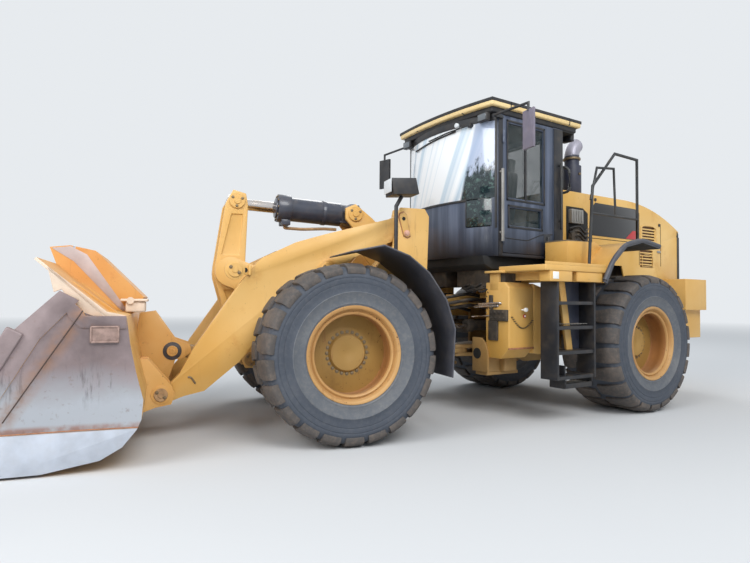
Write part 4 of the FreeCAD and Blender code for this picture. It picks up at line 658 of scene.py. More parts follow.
def skyFinish():
    # what the screen mirrors: a pale sky with slanting streaks, and a dark patch low at its left corner
    finish = Finish("skyGlass", linear(206, 214, 224), 0.12)
    side, height = finish.axis("Y") - hitch.y, finish.axis("Z")
    lean = side - (height - screen["middle"]) * screen["lean"]
    streak = finish.node("TexNoise", {"noise_dimensions": "1D"}, W=lean, Scale=5.5, Detail=4.0)
    colour = finish.mix(streak.between(0.50, 0.66) * 0.75, linear(238, 241, 243), linear(158, 188, 210))
    start = screen["cornerFrom"]
    corner = (side - (height - screen["middle"]) * screen["cornerLean"]).between(start, start + 0.03)
    colour = finish.mix(corner * 0.8, colour, linear(158, 172, 200))
    ragged = height + (finish.noise(9.0, 5.0, stretch=(1.6, 1.6, 0.7), roughness=0.7) - 0.5) * 0.8
    dark = corner * (1 - ragged.between(screen["darkBelow"], screen["darkBelow"] + 0.12))
    mottle = finish.noise(24.0, 5.0, roughness=0.7).between(0.52, 0.68)
    colour = finish.mix(dark, colour, finish.mix(mottle * 0.5, linear(30, 44, 48), linear(118, 150, 140)))
    finish.set(baseColor=colour, roughness=streak * 0.1 + 0.06, coat=0.6)
    return finish.material


chromeRod = chromeFinish()
skyGlass = skyFinish()
cabPanel = panelFinish()
bucketSide = wornSteel()
# pale wear on edges, and a painted highlight where the spill guard's ends face the light
paleWearAndHighlight = plain("paleWearAndHighlight", linear(212, 192, 172), 0.5, mottle=0.1, dusty=0.2)
guardGrey = plain("guardGrey", linear(172, 156, 152), 0.5, 0.2, mottle=0.15, dusty=0.2, scale=5.0)
wearSteel = plain("wearSteel", linear(178, 184, 194), 0.42, 0.3, mottle=0.1, dusty=0.3)
edgeSteel = plain("edgeSteel", linear(128, 116, 112), 0.45, 0.5, mottle=0.2, dusty=0.3)
tyreSide = rubberFinish("tyreSide", linear(60, 66, 76), linear(116, 114, 114), 0.40)
tyreBead = rubberFinish("tyreBead", linear(84, 88, 94), linear(140, 136, 130), 0.6)
tyreTread = rubberFinish("tyreTread", linear(70, 66, 64), linear(128, 112, 98), 0.85)
cabGlass = glassFinish("cabGlass", linear(38, 52, 54), 0.66)
lampGlass = Finish("lampGlass", linear(215, 220, 224), 0.08).set(specular=0.8, coat=0.6).material
amberGlass = Finish("amberGlass", linear(214, 104, 22), 0.2).set(coat=0.4).material
redGlass = Finish("redGlass", linear(160, 20, 22), 0.2).set(coat=0.4).material
mirrorShell = plain("mirrorShell", linear(112, 106, 120), 0.5)
seatCloth = rubberFinish("seatCloth", linear(40, 42, 46), linear(72, 72, 76), 0.5)
print("materials made")


# Wheels: lathed tyres with shoulder lugs, and five-piece rims with a ring of hub bolts

tyre = {"radius": 0.81, "groove": 0.03, "seat": 0.4135, "bead": 0.553, "lugs": 22, "lugLong": 0.182,
        "steps": 110,
        "shoulder": 0.24, "shoulderDrop": 2.6, "cutsAlong": (-0.045, 0.0, 0.045),
        "cutsAcross": (0.10, 0.20, 0.28, 0.33)}
rim = {"flange": 0.435, "half": 0.35, "barrel": 0.372, "discInset": 0.26, "bolts": 24, "boltRing": 0.19,
       "bolt": 0.0135}


def tyreCarcass(name):
    # one side from the bead to the tread, then its mirror image
    crown = tyre["radius"] - tyre["groove"]
    side = [(tyre["seat"], 0.331), (0.437, 0.345), (0.452, 0.352), (0.462, 0.349), (0.50, 0.361),
            (0.545, 0.370),
            (0.550, 0.3735), (0.556, 0.370), (0.60, 0.374), (0.625, 0.375), (0.629, 0.3715), (0.634, 0.3745),
            (0.672, 0.372), (0.676, 0.368), (0.681, 0.371), (0.700, 0.369), (0.730, 0.358), (0.755, 0.342),
            (crown - 0.008, 0.315), (crown, 0.26)]
    profile = side + [(radius, -along) for radius, along in reversed(side)]
    profile.append(profile[0])
    return lathe(name, profile, tyre["steps"])


def lugOutline():
    # one worn lug seen from outside the tread: (along the tread, across it)
    long = tyre["lugLong"] / 2
    return [(-long, 0.372), (-long * 0.98, 0.25), (-long * 0.72, 0.13), (-long * 0.62, 0.03),
            (long * 0.92, 0.03), (long * 0.98, 0.12), (long * 1.04, 0.22), (long, 0.372)]


def tyreLugs(name):
    # each lug stands on the tread at the top of the wheel, then copies go round it
    top, depth = tyre["radius"], tyre["groove"] + 0.02
    lug = plate("lug", "xy", (top - depth, top), lugOutline(), 0.012)
    only(lug)
    bpy.ops.object.mode_set(mode="EDIT")
    cuts = [((cut, 0, 0), (1, 0, 0)) for cut in tyre["cutsAlong"]]
    cuts += [((0, cut, 0), (0, 1, 0)) for cut in tyre["cutsAcross"]]
    for place, normal in cuts:
        bpy.ops.mesh.select_all(action="SELECT")
        bpy.ops.mesh.bisect(plane_co=place, plane_no=normal)
    bpy.ops.object.mode_set(mode="OBJECT")
    for vertex in lug.data.vertices:
        # wraps the flat lug round the tread and drops it over the shoulder
        x, y, z = vertex.co
        past = max(0.0, y - tyre["shoulder"])
        foot = 0.010 if z < top - depth / 2 and y > 0.3 else 0.0
        radius = z - past * past * tyre["shoulderDrop"] - foot
        angle = x / top
        vertex.co = (radius * math.sin(angle), y, radius * math.cos(angle))
    places = []
    for k in range(tyre["lugs"]):
        turn = 2 * math.pi * k / tyre["lugs"]
        places.append(Matrix.Rotation(turn, 4, "Y"))
        places.append(Matrix.Rotation(turn + math.pi / tyre["lugs"], 4,
                                      "Y") @ Matrix.Rotation(math.pi, 4, "Z"))
    return spread(name, lug, places)


def rimShell(name):
    # the inner flange, the barrel, the outer flange with its two rings, then the well behind the disc
    flange, half, bore = rim["flange"], rim["half"], rim["flange"] - 0.040
    profile = [(bore, -half + 0.002), (flange - 0.006, -half), (flange, -half + 0.008),
               (flange, -(half - 0.018)), (flange - 0.022, -(half - 0.018) + 0.01)]
    outer = ((0.022, 0.038), (0.006, 0.028), (0.001, 0.006), (0.006, 0), (0.026, 0.002), (0.036, 0.012),
             (0.040, 0.040), (0.043, 0.046), (0.050, 0.046), (0.054, 0.040), (0.066, 0.034), (0.078, 0.040),
             (0.084, 0.056), (0.090, 0.10), (0.068, 0.14), (0.062, rim["discInset"] - 0.02),
             (0.072, rim["discInset"]), (0.100, rim["discInset"] + 0.03), (0.054, rim["discInset"] + 0.05),
             (0.040, rim["discInset"] + 0.10))
    profile += [(flange - down, half - inward) for down, inward in outer]
    return lathe(name, profile + [profile[0]], 72)


def rimDisc(name):
    face = rim["half"] - rim["discInset"]
    profile = [(0, face - 0.03), (0.372, face - 0.03), (0.372, face), (0.355, face + 0.006),
               (0.240, face + 0.004),
               (0.222, face + 0.014), (0.178, face + 0.014), (0.170, face + 0.030), (0.158, face + 0.042),
               (0.06, face + 0.045), (0.045, face + 0.036), (0, face + 0.036)]
    return lathe(name, profile, 64)


def paintRings(piece, label, place):
    # the dusty bead of each tyre and the rusty barrel of each rim
    if label not in ("tyre_carcass", "rim_shell"):
        return
    back = place.inverted()
    piece.data.materials.append(tyreBead if label == "tyre_carcass" else rimRust)
    for face in piece.data.polygons:
        spot = back @ face.center
        radius = math.hypot(spot.x, spot.z)
        if label == "tyre_carcass" and radius < tyre["bead"]:
            face.material_index = 1
        if label == "rim_shell" and radius < rim["barrel"] and abs(spot.y) < rim["half"] - 0.05:
            face.material_index = 1


def makeWheels():
    carcass, lugs = tyreCarcass("carcass"), tyreLugs("lugs")
    shell, centre = rimShell("shell"), rimDisc("centre")
    face = rim["half"] - rim["discInset"] + 0.014
    studs = bolts("studs", ring((0, face, 0), rim["boltRing"], rim["bolts"]), (0, 1, 0), rim["bolt"])
    valve = bar("valve", (0.30, face, 0.16), (0.33, face + 0.10, 0.178), 0.007, 10)
    for end, ahead in (("front", 1), ("rear", -1)):
        for side, sign in (("left", 1), ("right", -1)):
            wheel = f"{end}_wheel_{side}"
            place = Matrix.Translation((wheels["axle"] * ahead, wheels["track"] * sign, wheels["height"]))
            turned = Matrix.Rotation(math.pi, 4, "Z") if sign < 0 else Matrix.Identity(4)
            place = halves[end] @ place @ turned
            place = place @ Matrix.Rotation(0.0 if sign > 0 else math.pi / tyre["lugs"], 4, "Y")
            for piece, label, material, node in (
                    (carcass, "tyre_carcass", tyreSide, f"{end}_tyre_{side}"),
                    (lugs, "tyre_lugs", tyreTread, None),
                    (shell, "rim_shell", rimPaint, f"{end}_rim_{side}"),
                    (centre, "rim_disc", discPaint, None),
                    (studs, "hub_bolts", boltSteel, None),
                    (valve, "valve", boltSteel, None)):
                twin = copyOf(piece, place)
                twin.name = f"{label}_{end}_{side}"
                finished(twin, wheel, material, smooth=40)
                paintRings(twin, label, place)
                if node:
                    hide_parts(node)
    for piece in (carcass, lugs, shell, centre, studs, valve):
        bpy.data.objects.remove(piece)
    print("wheels done")


makeWheels()


# Bucket: scoured side plates, pale wear steel, bolts, the bare cast plate and the pins' caps

def repaint(piece, choose, half="front"):
    # gives each face of a piece the material that choose names for its place and direction in its half
    back = halves[half].inverted()
    turn = back.to_3x3()
    slots = {}
    for face in piece.data.polygons:
        material = choose(back @ face.center, turn @ face.normal)
        if material is None:
            continue
        if material.name not in slots:
            slots[material.name] = len(piece.data.materials)
            piece.data.materials.append(material)
        face.material_index = slots[material.name]


bucket = {"wall": 1.53, "badgeX": (3.655, 3.855), "badgeZ": (0.955, 1.082), "badgeRim": 0.014, "guard": 0.598,
          "cheek": 1.470, "bracket": 0.202, "edgeBolts": 11, "edgeBolt": 0.018, "gussets": (-1.2, -0.62, 0.62,
                                                                                            1.2)}


def bucketFace(place, normal):
    # which paint a face of the bucket has, by where it lies and where it looks
    if abs(place.y) > 1.49 and abs(normal.y) > 0.9:
        return wearSteel if place.z < 0.32 else bucketSide
    # the side faces at the ends of the spill guard: a pale painted highlight
    if place.z > 1.16 and place.x > 3.52 and abs(place.y) > 1.4 and abs(normal.y) > 0.9:
        return paleWearAndHighlight
    if place.z > 1.16 and place.x > 3.55 and (normal.x < -0.3 or abs(normal.y) > 0.9):
        return guardOrange
    if abs(place.y) > 1.45 and place.x > 3.7 and place.z < 1.36 and normal.z > 0.3:
        return paleWearAndHighlight
    if place.z < 0.10 and place.x > 4.60:
        return edgeSteel
    if abs(place.y) < 1.5 and (normal.x > 0.25 or normal.z > 0.5) and place.z < 1.16 and place.x > 3.5:
        return bucketInside
    if 1.15 < place.z < 1.65 and place.x > 3.7 and normal.x > 0.4 and abs(place.y) > 0.6:
        return bucketInside
    return None


def pinCap(name, body, place, y, radius, material, thick=0.02, count=3, head=0.013):
    # a round cover over a pin's end, with bolts in its face
    profile = [(0, 0), (radius, 0), (radius, thick * 0.7), (radius * 0.93, thick), (radius * 0.45, thick),
               (radius * 0.40, thick * 1.5), (0, thick * 1.5)]
    cap = lathe(name, profile, 32)
    cap.data.transform(Matrix.Translation((place[0], y, place[1])))
    paired(cap, body, material)
    heads = bolts(name + "_bolts", ring((place[0], y + thick, place[1]), radius * 0.68, count, 0.6), (0, 1, 0),
                  head)
    paired(heads, body, boltSteel)


def makeBucket():
    piece = softened("bucket", bucketPaint, 0.006)
    repaint(piece, bucketFace)
    x, y, z = bucket["badgeX"], bucket["wall"], bucket["badgeZ"]
    parts = [box("badge", x, (y - 0.004, y + 0.007), z, 0.008)]
    parts += border("rim", x, (y, y + 0.014), z, bucket["badgeRim"], 0.004)
    finished(joined("bucket_badge", parts), "bucket", rustCast, "front")
    seam = flatPath(y + 0.001, [(3.905, 1.195), (4.13, 0.835), (4.395, 0.405)])
    paired(tube("bucket_seam", seam, 0.0045, 0.01, 8), "bucket", darkSeam)
    line = flatPath(y + 0.001, [(3.51, 0.318), (3.9, 0.322), (4.41, 0.318)])
    paired(tube("bucket_weld", line, 0.0045, 0.01, 8), "bucket", rustSeamAndShade)
    face = [(4.275, 1.722), (4.125, 1.742), (3.995, 1.672), (3.665, 1.190), (3.70, 1.17), (3.80, 1.28),
            (4.10, 1.61)]
    paired(plate("guard_face", "xz", (bucket["guard"], bucket["guard"] + 0.005), face, 0.001), "bucket",
           guardGrey)
    # the spill guard's end plate: pale, a painted highlight
    cheek = [(4.172, 1.522), (4.150, 1.515), (4.105, 1.330), (4.055, 1.350), (3.93, 1.19), (3.84, 1.155),
             (3.76, 1.150)]
    paired(plate("guard_cheek", "xz", (bucket["cheek"], bucket["cheek"] + 0.024), cheek, 0.003), "bucket",
           paleWearAndHighlight)
    bracket = [(3.57, 1.145), (3.43, 1.165), (3.235, 0.885), (3.10, 0.835), (3.085, 0.76), (3.16, 0.70),
               (3.235, 0.69),
               (3.31, 0.45), (3.50, 0.45), (3.60, 0.90)]
    paired(plate("link_bracket", "xz", (bucket["bracket"], bucket["bracket"] + 0.03), bracket, 0.004),
           "bucket", bucketPaint)
    guards = []
    for low, high in (((4.50, 0.80), (4.36, 1.06)), ((4.66, 0.45), (4.53, 0.70))):
        # edge protectors clamped over the front of each side plate
        along = Vector((high[0] - low[0], 0, high[1] - low[1]))
        block = box("guard", (-0.07, 0.05), (-0.012, 0.035), (0, along.length), 0.012, 3)
        angle = math.atan2(along.x, along.z)
        block.data.transform(Matrix.Translation((low[0] - 0.02, 1.52, low[1])) @ Matrix.Rotation(angle, 4,
                                                                                                 "Y"))
        guards.append(block)
    paired(joined("edge_protectors", guards), "bucket", bucketSide)
    places = [(4.60, 1.45 - 0.29 * k, 0.078) for k in range(bucket["edgeBolts"])]
    finished(bolts("edge_bolts", places, (0, 0, 1), bucket["edgeBolt"]), "bucket", edgeSteel, "front")
    gusset = [(3.66, 1.15), (3.78, 1.15), (4.05, 1.40), (4.02, 1.42)]
    ribs = [plate("gusset", "xz", about(side, 0.012), gusset, 0.003) for side in bucket["gussets"]]
    finished(joined("guard_gussets", ribs), "bucket", bucketPaint, "front")
    finished(tube("guard_lip", [(4.10, -0.6, 1.735), (4.10, 0.6, 1.735)], 0.012), "bucket", wearSteel, "front")
    for name, pin, side, radius, material, thick, head in (
            ("bucket_pin_cap", "b", 0.685, 0.060, rustPipe, 0.016, 0.012),
            ("bucket_pin_ring", "b", 0.680, 0.085, bucketPaint, 0.008, 0.002),
            ("link_pin_ring", "c", 0.232, 0.088, greased, 0.006, 0.002),
            ("link_pin_cap", "c", 0.236, 0.052, bucketPaint, 0.014, 0.003)):
        pinCap(name, "bucket", pins[pin], side, radius, material, thick, 2, head)
    stops = [box("stop", (3.50, 3.66), (0.62, 0.86), (1.17, 1.262), 0.014, 3),
             box("bar", (3.48, 3.70), (0.60, 0.88), (1.262, 1.285), 0.008,
                 3), bar("eye", (3.62, 0.875, 1.27), (3.62, 0.885, 1.27), 0.03)]
    finished(joined("guard_stop", stops), "bucket", paleWearAndHighlight, "front")
    print("bucket done")


# Linkage: pin covers, keepers, the tilt cylinder's gland and the cylinders' pipes

tilt = {"long": 0.83, "gland": 0.152, "glandBack": 0.13, "glandLong": 0.145, "band": 0.137, "bolts": 10,
        "boltRing": 0.132, "pipe": 0.017}
lift = {"side": 0.35, "band": 0.088, "pipe": 0.014, "from": 0.25, "to": 1.12, "clear": 0.125, "clamp": 0.6}


def pinPoint(name):
    return Vector((pins[name][0], 0, pins[name][1]))


def makeLinkage():
    softened("tilt_lever", yellowPaint, 0.010, 3)
    softened("lift_arms", yellowPaint, 0.006)
    softened("tilt_link", framePaint, 0.008)
    for name, body, pin, side, radius, material, thick, count, head in (
            ("lever_top_cap", "tilt_lever", "t", 0.20, 0.082, yellowPaint, 0.020, 3, 0.012),
            ("lever_low_cap", "tilt_lever", "d", 0.20, 0.075, framePaint, 0.018, 3, 0.011),
            ("lever_pin_cap", "lift_arms", "p", 0.64, 0.070, yellowPaint, 0.012, 2, 0.014),
            ("cylinder_pin_cap", "lift_arms", "h", 0.635, 0.070, yellowPaint, 0.012, 3, 0.012),
            ("tower_pin_cap", "front_half", "e", 0.19, 0.085, framePaint, 0.020, 3, 0.012)):
        pinCap(name, body, pins[pin], side, radius, material, thick, count, head)
    p = pins["p"]
    paired(box("keeper_stop", (p[0] - 0.155, p[0] - 0.125), (0.615, 0.66), about(p[1], 0.05), 0.01),
           "lift_arms", yellowPaint)
    # a near-black disc standing for the hole in the keeper: painted shade
    hole = disc((p[0] - 0.10, p[1]), 0.022, 20)
    paired(plate("keeper_hole", "xz", (0.634, 0.6365), hole, 0), "lift_arms", darkInside)
    keeper = [(0.925, 1.975), (0.955, 1.955), (0.995, 1.975), (1.045, 2.165), (1.035, 2.20), (0.995, 2.22),
              (0.965, 2.19)]
    # a plate a little larger than the keeper, set behind it: a painted shadow round its edges
    around = [(0.98 + (x - 0.98) * 1.22, 2.09 + (z - 2.09) * 1.09) for x, z in keeper]
    paired(plate("keeper_shade", "xz", (0.679, 0.683), around, 0.001), "front_half", rustSeamAndShade)
    paired(plate("tower_keeper", "xz", (0.680, 0.697), keeper, 0.008), "front_half", yellowPaint)
    # a near-black disc standing for the tower keeper's hole: painted shade
    paired(plate("tower_hole", "xz", (0.695, 0.6985), disc((1.0, 2.15), 0.020, 20), 0), "front_half",
           darkInside)
    paired(bolts("tower_bolt", [(0.965, 0.697, 2.00)], (0, 1, 0), 0.026), "front_half", pinkBolt)
    makeTiltCylinder()
    makeLiftPipes()
    mark = flatPath(0.622, [(3.06, 0.50), (3.10, 0.56), (3.13, 0.565)])
    paired(joined("arm_fitting", [tube("mark", mark, 0.009, 0.02)]), "lift_arms", boltSteel)
    print("linkage done")


def makeTiltCylinder():
    # the gland with its bolts, a band, two lugs and the pipe under the barrel
    start = pinPoint("e")
    along = (pinPoint("t") - start).normalized()
    up = Vector((-along.z, 0, along.x))
    gland = start + along * (tilt["long"] - tilt["glandBack"])
    face = gland + along * tilt["glandLong"]
    parts = [bar("gland", gland, face, tilt["gland"], 40, 0.006),
             bar("collar", face, gland + along * 0.165, 0.11, 40, 0.004),
             bar("band", start + along * 0.30, start + along * 0.345, tilt["band"], 40, 0.003)]
    for sign in (-1, 1):
        middle = gland + along * 0.05 - up * 0.15
        parts.append(box("lug", about(middle.x, 0.05), about(0.055 * sign, 0.03),
                         (middle.z - 0.035, middle.z + 0.03), 0.008))
    finished(joined("tilt_gland", parts), "tilt_barrel", cylinderPaint, "front")
    studs = []
    for k in range(tilt["bolts"]):
        turn = 2 * math.pi * k / tilt["bolts"]
        outward = Vector((0, 1, 0)) * math.cos(turn) + up * math.sin(turn)
        studs.append(face + along * 0.0005 + outward * tilt["boltRing"])
    finished(bolts("gland_bolts", studs, along, 0.012), "tilt_barrel", boltSteel, "front")
    pipe = [gland + along * 0.05 - up * 0.165, gland + along * 0.05 - up * 0.21]
    for ahead, down in ((0.55, 0.205), (0.30, 0.175), (0.16, 0.17)):
        pipe.append(start + along * ahead - up * down)
    finished(tube("tilt_pipe", pipe, tilt["pipe"], 0.04), "tilt_barrel", rustPipe, "front")


def makeLiftPipes():
    # a pipe along the top of each lift barrel, with its boss and clamp
    start = pinPoint("g")
    along = (pinPoint("h") - start).normalized()
    up = Vector((-along.z, 0, along.x))

    def spot(ahead, rise):
        return start + along * ahead + up * rise + Vector((0, lift["side"], 0))

    line = [spot(lift["to"], 0.08), spot(lift["to"], lift["clear"]), spot(lift["from"], lift["clear"]),
            spot(lift["from"], 0.07)]
    rig = [tube("line", line, lift["pipe"], 0.03), bar("boss", spot(lift["to"], 0.05), spot(lift["to"], 0.1),
                                                       0.028),
           bar("clamp", spot(lift["clamp"], 0), spot(lift["clamp"] + 0.03, 0), lift["band"], 32, 0.002)]
    paired(joined("lift_pipe", rig), "lift_barrels", cylinderPaint)


# Cab: dark glazing with a pale sky on the windscreen, frame trim, wiper, roof seams and lamps

cab = {"front": 0.11, "rise": 0.19, "half": 0.80, "sill": 2.43, "seal": 0.022, "mirrorTop": 3.27}
roof = {"side": 0.853, "half": 0.85, "front": 0.253, "back": -1.273, "rise": 0.07, "steps": 24, "ribs": 5,
        "joint": (3.428, 3.514), "lamp": (3.29, 3.36)}


def cabArc(y, out):
    # how far forward the bowed front stands at a distance from the middle
    rise, half = cab["rise"], cab["half"]
    radius = (half * half + rise * rise) / (2 * rise)
    return cab["front"] + rise - radius + math.sqrt(radius * radius - y * y) + out


def onScreen(y, out, z):
    return (cabArc(y, out), y, z)


def bowed(name, y, z, out, thick, bend=24):
    # a strip that follows the bowed front between two heights
    spots = [y[0] + (y[1] - y[0]) * k / bend for k in range(bend + 1)]
    outer = [(cabArc(spot, out), spot) for spot in spots]
    inner = [(cabArc(spot, out - thick), spot) for spot in reversed(spots)]
    return plate(name, "xy", z, outer + inner, 0.002)


def makeCab():
    softened("cab_shell", cabPanel, 0.006)
    softened("cab_door", cabPanel, 0.006)
    repaint(softened("cab_roof", roofTrim, 0.018, 3), roofFace, "rear")
    softened("cab_glass", cabGlass, 0)
    softened("door_glass", cabGlass, 0)
    sky = [bowed("screen_sky", (-0.775, 0.775), (2.44, 3.31), 0.004, 0.003)]
    for sign in (-1, 1):
        sky.append(bowed("corner", toSide(0.44, 0.735, sign), (2.13, 2.43), 0.004, 0.003, 6))
    onRear(sky, "screen_sky", skyGlass, False)
    parts = [bowed("sill", (-0.44, 0.44), (2.42, 2.445), 0.010, 0.012),
             bowed("head", (-0.79, 0.79), (3.295, 3.37), 0.012, 0.016)]
    for sign in (-1, 1):
        parts.append(bowed("frame", toSide(0.772, 0.792, sign), (2.10, 3.33), 0.010, 0.014, 4))
        parts.append(bowed("frame", toSide(0.432, 0.442, sign), (2.13, 2.44), 0.009, 0.010, 4))
    onRear(parts, "screen_trim", blackSatin, False)
    blade = [tube("arm", [onScreen(0.50, 0.03, 3.285), onScreen(0.22, 0.035, 3.262),
                          onScreen(-0.14, 0.035, 3.235)], 0.009, 0.1),
             tube("blade", [onScreen(0.30, 0.02, 3.255), onScreen(-0.14, 0.022, 3.222),
                            onScreen(-0.50, 0.02, 3.20)], 0.010, 0.2),
             bar("pivot", onScreen(0.50, -0.01, 3.285), onScreen(0.50, 0.045, 3.285), 0.028, 20, 0.003)]
    onRear(blade, "wiper", blackSatin, False)
    visor = tube("visor", [onScreen(-0.55, -0.05, 3.20), onScreen(-0.1, -0.05, 3.215),
                           onScreen(0.45, -0.05, 3.20)], 0.035, 0.2, 16)
    finished(visor, "rear_half", darkInside, "rear")
    makeRoof()
    makeDoorTrim()
    repaint(softened("grab_rails", railPale, 0), railFace, "rear")
    repaint(softened("mirrors", plastic, 0.012, 3), mirrorFace, "rear")
    pan = [(0.25, 1.795), (0.22, 1.70), (0.10, 1.645), (-0.84, 1.645), (-0.90, 1.795)]
    onRear([plate("pan", "xz", (-0.70, 0.70), pan, 0.02)], "cab_pan", darkInside, False)
    loop = [(-0.985, 0.70, 2.60), (-1.03, 0.86, 2.62), (-1.03, 0.86, 2.88), (-1.00, 0.80, 2.93),
            (-0.985, 0.70, 2.90)]
    finished(tube("cab_loop", loop, 0.016, 0.05, 12), "rear_half", railBlack, "rear")
    makeInterior()
    print("cab done")


def roofFace(place, normal):
    return roofTop if normal.z > 0.8 or place.z < 3.425 else None


def railFace(place, normal):
    return railBlack if place.x < -0.5 else None


def mirrorFace(place, normal):
    return mirrorShell if place.y > 1.15 and place.z < cab["mirrorTop"] else None


def makeRoof():
    # the dark rim with its joints, the ribbed cap and the lamps' lenses
    side, half, rise = roof["side"], roof["half"], roof["rise"]
    around = [(roof["back"], side), (roof["back"], -side)]
    radius = (half ** 2 + rise ** 2) / (2 * rise)
    for k in range(roof["steps"] + 1):
        y = -side + 2 * side * k / roof["steps"]
        around.append((roof["front"] + rise - radius + math.sqrt(radius * radius - min(half, abs(y)) ** 2), y))
    within = [(x * 0.96 - 0.02, y * 0.96) for x, y in around]
    finished(plate("roof_rim", "xy", (3.478, 3.516), around, 0.004, (within,)), "rear_half", roofTop, "rear")
    lips = []
    for sign in (-1, 1):
        for x in (-1.05, -0.04):
            lips.append(box("joint", about(x, 0.007), toSide(side, side - 0.02, sign), roof["joint"], 0.002))
    for y in (-0.42, 0.42):
        lips.append(box("joint", (0.24, 0.30), about(y, 0.007), roof["joint"], 0.002))
    onRear(lips, "roof_joints", blackSatin, False)
    crown = [(-1.20, 0.79), (-1.20, -0.79), (0.20, -0.79), (0.255, -0.4), (0.255, 0.4), (0.20, 0.79)]
    ribs = [plate("roof_cap", "xy", (3.505, 3.524), crown, 0.008)]
    for k in range(roof["ribs"]):
        ribs.append(box("rib", (-1.12, 0.14), about(-0.6 + 0.3 * k, 0.02), (3.52, 3.532), 0.005))
    onRear(ribs, "roof_cap", blackSatin, False)
    softened("roof_lamps", blackSatin, 0.008)
    lenses = []
    for sign in (-1, 1):
        for x in ((0.257, 0.264), (-1.246, -1.239)):
            lenses.append(box("lens", x, toSide(0.635, 0.755, sign), roof["lamp"], 0.004))
    onRear(lenses, "roof_lenses", lampDark, False)
    marker = bar("marker", onScreen(0.33, 0.012, 3.315), onScreen(0.33, 0.045, 3.315), 0.028, 24, 0.006)
    finished(marker, "rear_half", lampGlass, "rear")
    soffit = [box("soffit", (-1.20, -0.99), (-0.80, 0.80), (3.352, 3.372), 0.004)]
    onRear(soffit, "roof_soffit", darkInside, False)


def makeDoorTrim():
    # black posts beside the door, raised rubber around each of its windows, the crease and the handle
    edges = [box("post", x, (0.799, 0.812), (1.80, 3.36), 0.003) for x in ((0.050, 0.106), (-0.97, -0.815))]
    onRear(edges, "post_trim", blackSatin, False)
    trim = []
    for x, z in (((-0.655, -0.02), (2.415, 3.325)), ((-0.615, -0.04), (2.11, 2.37))):
        trim += border("seal", x, (0.798, 0.808), z, cab["seal"], 0.003)
    trim.append(box("divider", (-0.345, -0.32), (0.785, 0.803), (2.44, 3.30), 0.003))
    crease = flatPath(0.801, [(0.02, 1.995), (-0.36, 1.985), (-0.46, 2.02), (-0.60, 2.07), (-0.79, 2.085)])
    trim.append(tube("crease", crease, 0.005, 0.03))
    finished(joined("door_trim", trim), "cab_door", blackSatin, "rear")
    handle = [box("dish", (-0.75, -0.64), (0.797, 0.806), (1.90, 2.08), 0.01),
              box("grip", (-0.715, -0.68), (0.80, 0.835), (1.93, 2.05), 0.01, 3)]
    finished(joined("door_handle", handle), "cab_door", plastic, "rear")


def makeInterior():
    finished(box("floor_mat", (-0.90, 0.10), (-0.72, 0.72), (1.832, 1.845), 0.004), "rear_half", darkInside,
             "rear")
    side = [box("console", (-0.72, -0.12), (-0.62, -0.36), (1.84, 2.36), 0.03, 3),
            box("rest", (-0.62, -0.30), (-0.56, -0.38), (2.36, 2.42), 0.02, 3),
            box("rest_left", (-0.70, -0.36), (0.31, 0.39), (2.46, 2.52), 0.02, 3)]
    for x in (-0.19, -0.24, -0.29):
        side.append(bar("lever", (x - 0.01, -0.45, 2.36), (x, -0.45, 2.47), 0.010, 12))
        side.append(bar("knob", (x, -0.45, 2.46), (x, -0.45, 2.50), 0.018, 16, 0.006))
    side.append(box("screen", (-0.02, 0.02), (-0.62, -0.40), (2.50, 2.68), 0.012, 3))
    onRear(side, "cab_fittings", plastic, False)
    softened("steering_console", plastic, 0.004)
    makeSeat()


padding = {"cuts": 30, "roundness": 7, "crown": 0.22, "pull": 0.035, "channelWide": 0.045, "channelDeep": 0.10}


def cushion(name, size, place, turn, channels):
    # a crowned closed form whose sides pull in between its corners, with sewn channels across it
    power, pull = padding["roundness"], padding["pull"]
    bpy.ops.mesh.primitive_cube_add(size=2)
    piece = bpy.context.object
    piece.name = name
    bpy.ops.object.mode_set(mode="EDIT")
    bpy.ops.mesh.subdivide(number_cuts=padding["cuts"])
    bpy.ops.object.mode_set(mode="OBJECT")
    for vertex in piece.data.vertices:
        u, v, w = vertex.co / (sum(abs(value) ** power for value in vertex.co) ** (1 / power))
        crown = 1 - padding["crown"] * (u ** 4 + v ** 4) / 2 if w > 0 else 1
        seam = 0
        if w > 0.5:
            seam = sum(math.exp(-((u - channel) / padding["channelWide"]) ** 2) for channel in channels)
        height = w * crown - padding["channelDeep"] * seam
        pulled = (u * (1 - pull * (1 - v * v)), v * (1 - pull * (1 - u * u)), height)
        vertex.co = [half * value for half, value in zip(size, pulled)]
    piece.data.transform(Matrix.Translation(place) @ Matrix.Rotation(math.radians(turn), 4, "Y"))
    return piece


seat = {
    "pad": {"size": (0.238, 0.258, 0.068), "place": (-0.54, 0, 2.226), "turn": 0, "channels": (-0.45, 0.1)},
    "back": {"size": (0.345, 0.238, 0.056), "place": (-0.757, 0, 2.615), "turn": 83.4,
             "channels": (-0.5, 0, 0.5)},
    "headrest": {"size": (0.09, 0.15, 0.045), "place": (-0.835, 0, 3.045), "turn": 83.4, "channels": ()},
}


def makeSeat():
    pad = cushion("seat_pad", **seat["pad"])
    finished(pad, "rear_half", seatCloth, "rear", 60)
    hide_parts("seat")
    back = cushion("seat_back", **seat["back"])
    finished(back, "rear_half", seatCloth, "rear", 60)
    rest = cushion("seat_headrest", **seat["headrest"])
    finished(rest, "rear_half", seatCloth, "rear", 60)
    base = [box("base", (-0.72, -0.42), (-0.18, 0.18), (1.831, 2.17), 0.02, 3),
            box("pan", (-0.76, -0.32), (-0.24, 0.24), (2.14, 2.165), 0.008)]
    for y in ((-0.06, -0.045), (0.045, 0.06)):
        base.append(box("post", (-0.845, -0.825), y, (2.88, 3.00), 0.004))
    onRear(base, "seat_base", plastic, False)
    print("seat done")


makeBucket()
makeLinkage()
makeCab()


# Hood and exhaust: decal, seams, vent recesses, latches and the black rear band

